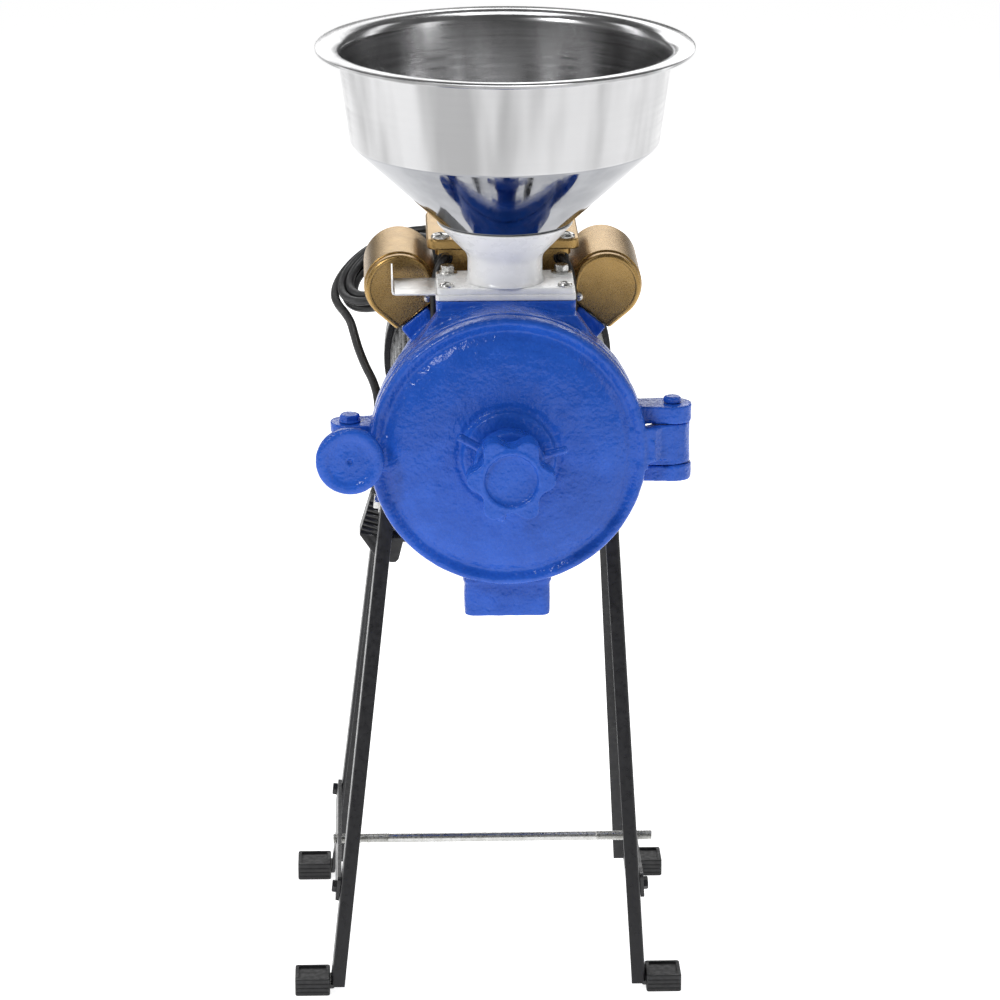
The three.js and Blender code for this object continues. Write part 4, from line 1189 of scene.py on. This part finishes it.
def make_fan_cover():
    """A pressed steel cowl with a rolled front edge and slots round its flat end."""
    cowl = turned("fan_cowl", [
        (256, 88.4), (256, 92.4), (256.8, 93), (259, 93), (259.8, 92.6), (262, 92.6), (287, 92.6),
        (291, 92.0), (294, 90.2), (296.2, 87.2), (297, 83), (297, 28), (295.8, 24), (295.8, 0), (294.2, 0),
        (294.2, 24), (295.2, 29), (295.2, 83), (294.4, 86.2), (292.4, 88.8), (289.6, 90.4), (286, 91.2),
        (259, 91.2), (258, 90.6), (258, 88.4),
    ], segments=160)
    slots = []
    for i in range(24):
        angle = math.radians(15 * i)
        out = Vector((math.cos(angle), 0, math.sin(angle)))
        across = Vector((-math.sin(angle), 0, math.cos(angle)))
        start = 32 if i % 3 else 44
        outline = rounded([(start, -2.1), (80, -2.1), (80, 2.1), (start, 2.1)], 2.0, 4)
        slots.append(between("slot", outline, (0, 0, 0), out, across, 290, 300))
    combine(cowl, slots, "DIFFERENCE")
    sharpen(cowl, 40)
    link(cowl, MOTOR_BLACK, "frame", "fan_cover")
    for index, angle in enumerate((45, 135, 225, 315)):
        out = Vector(polar(angle))
        place = out * 92.4
        phillips_head(f"cowl_screw_{index + 1}", (place.x, 266, place.z), out, 3.6, 2.2, turn=20 * index)


make_front_bell()
make_stator_shell()
make_rear_bell()
make_fan_cover()


# ---------------------------------------------------------------- stand

SHAFT_HEIGHT = ORIGIN.z / MM
SIDES = {
    "left": {"sign": -1, "x": -95.6, "lean": 6.6},
    "right": {"sign": 1, "x": 86.4, "lean": 3.2},
}
PAIRS = {"front": {"top": 60, "bottom": -22, "inward": 1}, "rear": {"top": 150, "bottom": 218, "inward": -1}}
LEG = {"top": -45.0, "side": 25.0, "face": 11.0, "plate": 2.8, "tab": 25.0, "tab_low": 5.0, "tab_high": 8.0}
BRACE = {"front": -14, "back": 204, "high": 20, "thick": 3, "z": -358}
ROD = {"radius": 4.0, "y": 95, "left": -138, "right": 120, "thread": 46.0}


def side_x(side, z, inwards=0.0):
    slope = math.tan(math.radians(side["lean"]))
    reach = (LEG["top"] - z) * slope - inwards / math.cos(math.radians(side["lean"]))
    return side["x"] + side["sign"] * reach


def leg_y(pair, z):
    share = (LEG["top"] - z) / (LEG["top"] - (LEG["tab_high"] - SHAFT_HEIGHT))
    return pair["top"] + (pair["bottom"] - pair["top"]) * share


def side_frame(side):
    """The outward and upward directions of a side's leaning plane."""
    lean = math.radians(side["lean"])
    up = Vector((-side["sign"] * math.sin(lean), 0, math.cos(lean)))
    return Vector((side["sign"] * math.cos(lean), 0, math.sin(lean))), up


def swept(name, sections):
    """A closed section carried through several stations, each a list of points in millimetres."""
    points = [at(*p) for ring in sections for p in ring]
    count = len(sections[0])
    faces = []
    for ring in range(len(sections) - 1):
        for i in range(count):
            j = (i + 1) % count
            a = ring * count
            faces.append((a + i, a + j, a + count + j, a + count + i))
    faces.append(tuple(range(count)))
    faces.append(tuple((len(sections) - 1) * count + i for i in range(count)))
    return mesh_object(name, points, faces)


def angle_section(pair):
    """The folded section of a leg, as (outwards, along y) from the middle of its outer face."""
    half = LEG["side"] / 2
    plate = LEG["plate"]
    face = LEG["face"]
    inward = pair["inward"]
    outline = [
        (0, -half), (0, half), (-plate, half), (-plate, -half + plate), (-face, -half + plate),
        (-face, -half),
    ]
    corners = rounded(outline, [2.6, 0.9, 0.6, 1.2, 0.6, 0.9], 4)
    return [(out, y * inward) for out, y in corners]


def make_leg(side_name, pair_name):
    side = SIDES[side_name]
    pair = PAIRS[pair_name]
    sign = side["sign"]
    foot = LEG["tab_low"] - SHAFT_HEIGHT
    section = angle_section(pair)
    lean = math.cos(math.radians(side["lean"]))
    rings = []
    for z in (LEG["top"], (LEG["top"] + foot) / 2, foot + 1.0):
        x = side_x(side, z)
        y = leg_y(pair, z)
        rings.append([(x + sign * out / lean, y + along, z) for out, along in section])
    leg = swept(f"{pair_name}_{side_name}_leg_angle", rings)
    low_y = leg_y(pair, foot + 1)
    start = side_x(side, foot + 1) - sign * LEG["plate"]
    end = side_x(side, foot + 1) + sign * LEG["tab"]
    half = LEG["side"] / 2
    toe = block("toe", (min(start, end), low_y - half, foot), (max(start, end), low_y + half, foot + 3), 2)
    combine(leg, [toe], "UNION")
    bevel(leg, 0.35, 2, 40)
    apply_modifiers(leg)
    link(leg, LEG_BLACK, "frame", f"{pair_name}_{side_name}_leg")


def make_foot(side_name, pair_name):
    """A moulded rubber shoe: a block with a raised rim round a sunken top and a slot for the leg's toe."""
    side = SIDES[side_name]
    pair = PAIRS[pair_name]
    bottom = -SHAFT_HEIGHT
    level = bottom + LEG["tab_low"] + 1
    y = leg_y(pair, level)
    inner = side_x(side, level) + side["sign"] * 0.5
    outer = side_x(side, level) + side["sign"] * (LEG["tab"] + 3)
    x0, x1 = sorted((inner, outer))
    shoe = block(f"{pair_name}_{side_name}_rubber_shoe",
                 (x0, y - 15.5, bottom), (x1, y + 15.5, bottom + 14), 2.5)
    bevel(shoe, 0.9, 3, 40)
    apply_modifiers(shoe)
    top = block("sunken_top", (x0 + 3, y - 12.5, bottom + 12.4), (x1 - 3, y + 12.5, bottom + 15), 2)
    grooves = [
        block("groove", (x0 - 1, y - 16, bottom + z), (x1 + 1, y - 15.1, bottom + z + 1.1))
        for z in (3.0, 6.4, 9.8)
    ]
    ends = sorted((inner - side["sign"] * 5, side_x(side, level) + side["sign"] * (LEG["tab"] + 0.3)))
    half = LEG["side"] / 2 + 0.3
    pocket = block("pocket", (ends[0], y - half, bottom + LEG["tab_low"] - 0.3),
                   (ends[1], y + half, bottom + LEG["tab_high"] + 0.3))
    combine(shoe, [top, pocket, *grooves], "DIFFERENCE")
    bevel(shoe, 0.3, 2, 40)
    apply_modifiers(shoe)
    link(shoe, RUBBER, "frame", f"{pair_name}_{side_name}_rubber_foot")


def side_plate(name, side, y0, y1, z, high, start, end, corner):
    """A flat bar lying on a leaning side, from start to end outside the legs' outer face."""
    outwards, up = side_frame(side)
    middle = Vector((side_x(side, z), (y0 + y1) / 2, z))
    half = (y1 - y0) / 2
    outline = rounded([(-half, -high / 2), (half, -high / 2), (half, high / 2), (-half, high / 2)], corner, 5)
    direction = Y_AXIS.cross(up)
    low, top = (start, end) if direction.dot(outwards) > 0 else (-end, -start)
    return extruded(name, outline, tuple(middle), Y_AXIS, up, low, top)


def make_brace(side_name):
    side = SIDES[side_name]
    outwards, _ = side_frame(side)
    bar = side_plate(f"{side_name}_side_brace", side,
                     BRACE["front"], BRACE["back"], BRACE["z"], BRACE["high"],
                     0.4, 0.3 + BRACE["thick"], 3)
    hole = disc("rod_hole", ROD["radius"] + 0.5, -170, 170, (0, ROD["y"], BRACE["z"]), X_AXIS, 40)
    combine(bar, [hole], "DIFFERENCE")
    bevel(bar, 0.5, 2, 40)
    apply_modifiers(bar)
    link(bar, LEG_BLACK, "frame", f"{side_name}_brace")
    for pair_name, pair in PAIRS.items():
        place = Vector((side_x(side, BRACE["z"]), leg_y(pair, BRACE["z"]), BRACE["z"])) + outwards * 3.3
        hex_bolt(f"{side_name}_brace_{pair_name}_bolt", tuple(place), outwards, 9, 3.6,
                 finish=LEG_BLACK, washer=False, turn=13)


def make_leg_bolt(side_name, pair_name):
    side = SIDES[side_name]
    outwards, _ = side_frame(side)
    z = -60
    place = Vector((side_x(side, z), leg_y(PAIRS[pair_name], z), z)) + outwards * 0.2
    bolt = hex_bolt(f"{pair_name}_{side_name}_leg_bolt_head", tuple(place), outwards, 11, 4.2, turn=9)
    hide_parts(f"{pair_name}_{side_name}_leg_bolt")


def make_cross_rod():
    """A zinc-plated rod with rolled threads at both ends."""
    radius = ROD["radius"]
    profile = [(ROD["left"], 0), (ROD["left"], radius - 0.7)]
    pitch = 1.25
    threads = int(ROD["thread"] / pitch)
    for end in (ROD["left"], ROD["right"] - threads * pitch):
        for i in range(threads):
            profile += [(end + (i + 0.15) * pitch, radius - 0.62), (end + (i + 0.62) * pitch, radius)]
        if end == ROD["left"]:
            shank = (end + (threads + 0.5) * pitch, ROD["right"] - (threads + 0.5) * pitch)
            profile += [(x, radius - 0.3) for x in shank]
    profile += [(ROD["right"], radius - 0.7), (ROD["right"], 0)]
    rod = turned("cross_rod_threaded", profile, (0, ROD["y"], BRACE["z"]), X_AXIS, 28)
    sharpen(rod, 20)
    link(rod, ROD_ZINC, "frame", "cross_rod", slot="zinc_steel")


for stand_side in SIDES:
    for stand_pair in PAIRS:
        make_leg(stand_side, stand_pair)
        make_foot(stand_side, stand_pair)
        make_leg_bolt(stand_side, stand_pair)
    make_brace(stand_side)
make_cross_rod()


# ---------------------------------------------------------------- grinding parts, pins and screws

def ring_grooves(face, inner, outer, count):
    """Slanted furrows cut across one face of a grinding disc."""
    cutters = []
    for i in range(count):
        turn = 2 * math.pi * i / count
        out = Vector((math.cos(turn), 0, math.sin(turn)))
        across = Vector((-math.sin(turn), 0, math.cos(turn)))
        outline = [(inner, 4.5), (outer, 7.0), (outer, 10.2), (inner, 6.6)]
        cutters.append(between("furrow", outline, (0, 0, 0), out, across, face - 1.6, face + 1.6))
    return cutters


def make_discs():
    plate = turned("pressure_plate_turned", [
        (-7.2, 0), (-7.2, 66), (-6.8, 68), (-5.4, 71.4), (-4.6, 72), (-1.7, 72), (-1.2, 71.4), (-1.2, 0),
    ], segments=144)
    sharpen(plate)
    link(plate, IRON, "disc_carrier", "pressure_plate")

    fixed = turned("fixed_disc_cast", [
        (-0.9, 16), (-0.9, 73.6), (0, 75), (5.6, 75), (6.6, 74), (6.6, 34), (5.8, 32.6), (4.6, 30),
        (4.2, 16.6), (3.6, 16),
    ], segments=144)
    combine(fixed, ring_grooves(6.6, 34, 80, 24), "DIFFERENCE")
    sharpen(fixed)
    link(fixed, IRON, "disc_carrier", "fixed_disc")

    moving = turned("turning_disc_cast", [
        (7.9, 8.3), (7.9, 31), (8.6, 32.6), (8.6, 34), (7.9, 35), (7.9, 74), (8.9, 75), (14.4, 75),
        (15.4, 74), (15.4, 20), (16.4, 18.4), (31, 18), (31.7, 17.2), (31.7, 8.3),
    ], segments=144)
    holes = [disc("grain_eye", 6, 5, 18, polar(60 * i, 26), segments=32) for i in range(6)]
    combine(moving, ring_grooves(7.9, 36, 80, 24) + holes, "DIFFERENCE")
    sharpen(moving)
    link(moving, IRON, "rotor", "turning_disc")


def make_auger():
    """A cast screw: a sleeve on the shaft with a flight of 2.2 turns."""
    turns = 2.2
    steps = 132
    flight = []
    faces = []
    section = [(11.5, -1.9), (22.0, -1.1), (22.5, -0.6), (22.5, 0.6), (22.0, 1.1), (11.5, 1.9)]
    for i in range(steps + 1):
        turn = turns * i / steps
        angle = turn * 2 * math.pi
        fade = min(1.0, i / 5 + 0.35, (steps - i) / 5 + 0.35)
        for radius, offset in section:
            reach = 11.5 + (radius - 11.5) * fade
            y = 34.6 + turn * 24 + offset
            flight.append(at(reach * math.sin(angle), y, reach * math.cos(angle)))
    count = len(section)
    for i in range(steps):
        for k in range(count):
            j = (k + 1) % count
            faces.append((i * count + k, i * count + j, (i + 1) * count + j, (i + 1) * count + k))
    faces.append(tuple(range(count)))
    faces.append(tuple(steps * count + k for k in range(count)))
    auger = mesh_object("feed_screw_cast", flight, faces)
    sleeve = turned("sleeve", [(32, 8.3), (32, 11.4), (32.6, 12), (89.4, 12), (90, 11.4), (90, 8.3)],
                    segments=64)
    combine(auger, [sleeve], "UNION")
    sharpen(auger, 50)
    link(auger, IRON, "rotor", "feed_auger")


def make_pins():
    x, y, top = HINGE["x"], HINGE["y"], HINGE["top"]
    pin = turned("hinge_pin_turned", [
        (-31, 0), (-31, 2.6), (-30.4, 3.4), (-29, 3.7), (top + 0.3, 3.7), (top + 0.3, 6.5), (top + 1.0, 6.9),
        (top + 3.6, 6.8), (top + 4.7, 6.0), (top + 5.2, 4.6), (top + 5.3, 0),
    ], (x, y, 0), Z_AXIS, 56)
    cast_skin(pin, 0.4, 2, 0.15, 5)
    link(pin, BLUE, "frame", "hinge_pin")

    x, y, top = CLAMP["x"], CLAMP["y"], CLAMP["outer"]
    pin = turned("clamp_pin_turned", [
        (-22, 0), (-22, 5), (-21, 6), (top + 0.3, 6), (top + 0.3, 8.4), (top + 1.5, 8.4), (top + 1.5, 0),
    ], (x, y, 0), Z_AXIS, 56)
    head = extruded("pin_head", hexagon(7.9, 14), (x, y, 0), X_AXIS, Y_AXIS, top + 1, top + 6.2)
    dome = [(0, 0), (0, 9.4), (top + 5.0, 8.2), (top + 6.2, 6.6), (top + 6.2, 0)]
    chamfer = turned("chamfer", dome, (x, y, 0),
                     Z_AXIS, 56)
    combine(head, [chamfer], "INTERSECT")
    combine(pin, [head], "UNION")
    combine(pin, [disc("screw_hole", 3.7, 3, 27, (x, 0, 0), Y_AXIS, 40)], "DIFFERENCE")
    cast_skin(pin, 0.4, 2, 0.15, 5)
    link(pin, BLUE, "frame", "clamp_pin")


def threaded(name, start, end, radius, pitch, place, lead_in, segments=48):
    """A screw's turned profile with its thread cut as rings."""
    profile = [(start, 0), (start, radius - 0.6)]
    count = int((end - start - lead_in) / pitch)
    for i in range(count):
        profile += [(start + (i + 0.2) * pitch, radius - 0.55), (start + (i + 0.65) * pitch, radius)]
    profile += [(end - lead_in, radius - 0.5), (end, radius - lead_in * 0.7), (end, 0)]
    return turned(name, profile, place, segments=segments)


def make_screws():
    screw = threaded("adjusting_screw_threaded", -79.7, -7.5, 8, 2, (0, 0, 0), 2)
    sharpen(screw, 20)
    link(screw, ZINC, "knob", "adjusting_screw")
    front = threaded("clamp_screw_threaded", -28.7, 5, 5, 1.5, (CLAMP["x"], 0, 0), 1.5)
    tip = turned("tip", [(3, 0), (3, 2.9), (16.2, 2.9), (17, 2.0), (17, 0)], (CLAMP["x"], 0, 0), segments=48)
    combine(front, [tip], "UNION")
    sharpen(front, 20)
    link(front, ZINC, "clamp_wheel", "clamp_screw")
    shaft = turned("main_shaft_ground", [
        (2.6, 0), (2.6, 10.4), (3.8, 12), (7.6, 12), (7.6, 8), (289, 8), (290, 7.2), (290, 0),
    ], segments=64)
    sharpen(shaft)
    link(shaft, SHAFT, "rotor", "main_shaft")


make_discs()
make_auger()
make_pins()
make_screws()


# ---------------------------------------------------------------- plug

PLUG = {"x": -98.0, "y": 95.0, "front": 84.0, "back": 106.0}
BLADE = {
    "x": -80.0, "z": -97.0, "long": 18.0, "wide": 6.3, "thick": 1.5, "apart": 12.7, "tilt": 23.0,
    "inside": 4.0,
}
GRIP = {"low": (-114.6, -96), "high": (-105.5, -66), "grooves": 7, "first": 3.4, "pitch": 4.1, "depth": 0.9}


def plug_grooves():
    """Slanting grooves across both flat sides of the grip."""
    low = Vector((GRIP["low"][0], 0, GRIP["low"][1]))
    high = Vector((GRIP["high"][0], 0, GRIP["high"][1]))
    along = (high - low).normalized()
    across = Vector((along.z, 0, -along.x))
    outline = [(-3, -0.8), (15, -0.8), (16, 0), (15, 0.8), (-3, 0.8)]
    cutters = []
    for i in range(GRIP["grooves"]):
        place = low + along * (GRIP["first"] + GRIP["pitch"] * i)
        for y in (PLUG["front"], PLUG["back"]):
            cutters.append(between("groove", outline, (place.x, 0, place.z), across, along,
                                   y - GRIP["depth"], y + GRIP["depth"]))
    return cutters


def plug_boot():
    """The ribbed, tapered sleeve where the cord enters."""
    ribs = []
    for i in range(5):
        z = -64 + 3.6 * i
        radius = 7.4 - 0.62 * i
        ribs += [(z, radius), (z + 2.0, radius - 0.2), (z + 2.4, radius - 1.1), (z + 3.2, radius - 1.2)]
    profile = [(-68, 0), (-68, 7.4), *ribs, (-46.2, 4.8), (-46, 4.4), (-46, 0)]
    return turned("boot", profile, (PLUG["x"], PLUG["y"], 0), Z_AXIS, 40)


def make_plug_blades():
    tilt = math.radians(-BLADE["tilt"])
    out = Vector((math.cos(tilt), 0, math.sin(tilt)))
    up = Vector((-math.sin(tilt), 0, math.cos(tilt)))
    root = Vector((BLADE["x"], (PLUG["front"] + PLUG["back"]) / 2, BLADE["z"]))
    half = BLADE["wide"] / 2
    end = BLADE["long"]
    corners = [(-BLADE["inside"], -half), (end, -half), (end, half), (-BLADE["inside"], half)]
    outline = rounded(corners, [0, 2.2, 2.2, 0], 6)
    eye_place = root + out * (end - 5)
    for index, side in enumerate((-1, 1)):
        y = side * BLADE["apart"] / 2
        blade = between(f"plug_blade_{index + 1}", outline, tuple(root), out, up,
                        y - BLADE["thick"] / 2, y + BLADE["thick"] / 2)
        eye = disc("eye", 1.5, y - 3, y + 3, (eye_place.x, root.y, eye_place.z), Y_AXIS, 24)
        combine(blade, [eye], "DIFFERENCE")
        bevel(blade, 0.25, 2, 40)
        link(blade, ZINC, "frame")


def make_plug():
    """A moulded two-blade plug with a ribbed grip, hanging on the end of the cord."""
    outline = [
        GRIP["low"], GRIP["high"], (-103, -63), (-99, -61.5), (-92, -62.5), (-79.5, -84), (-78.5, -97),
        (-83.5, -117), (-86, -119.6), (-90, -119.6), (-93, -118), (-101, -114), (-103, -113),
    ]
    body = level("mains_plug", rounded(outline, 2.5, 4), PLUG["front"], PLUG["back"])
    bevel(body, 2.2, 4, 40)
    apply_modifiers(body)
    combine(body, plug_grooves(), "DIFFERENCE")
    combine(body, [plug_boot()], "UNION")
    bevel(body, 0.35, 2, 40)
    apply_modifiers(body)
    link(body, PLASTIC_BLACK, "frame", "plug")
    make_plug_blades()
    return body


plug = make_plug()
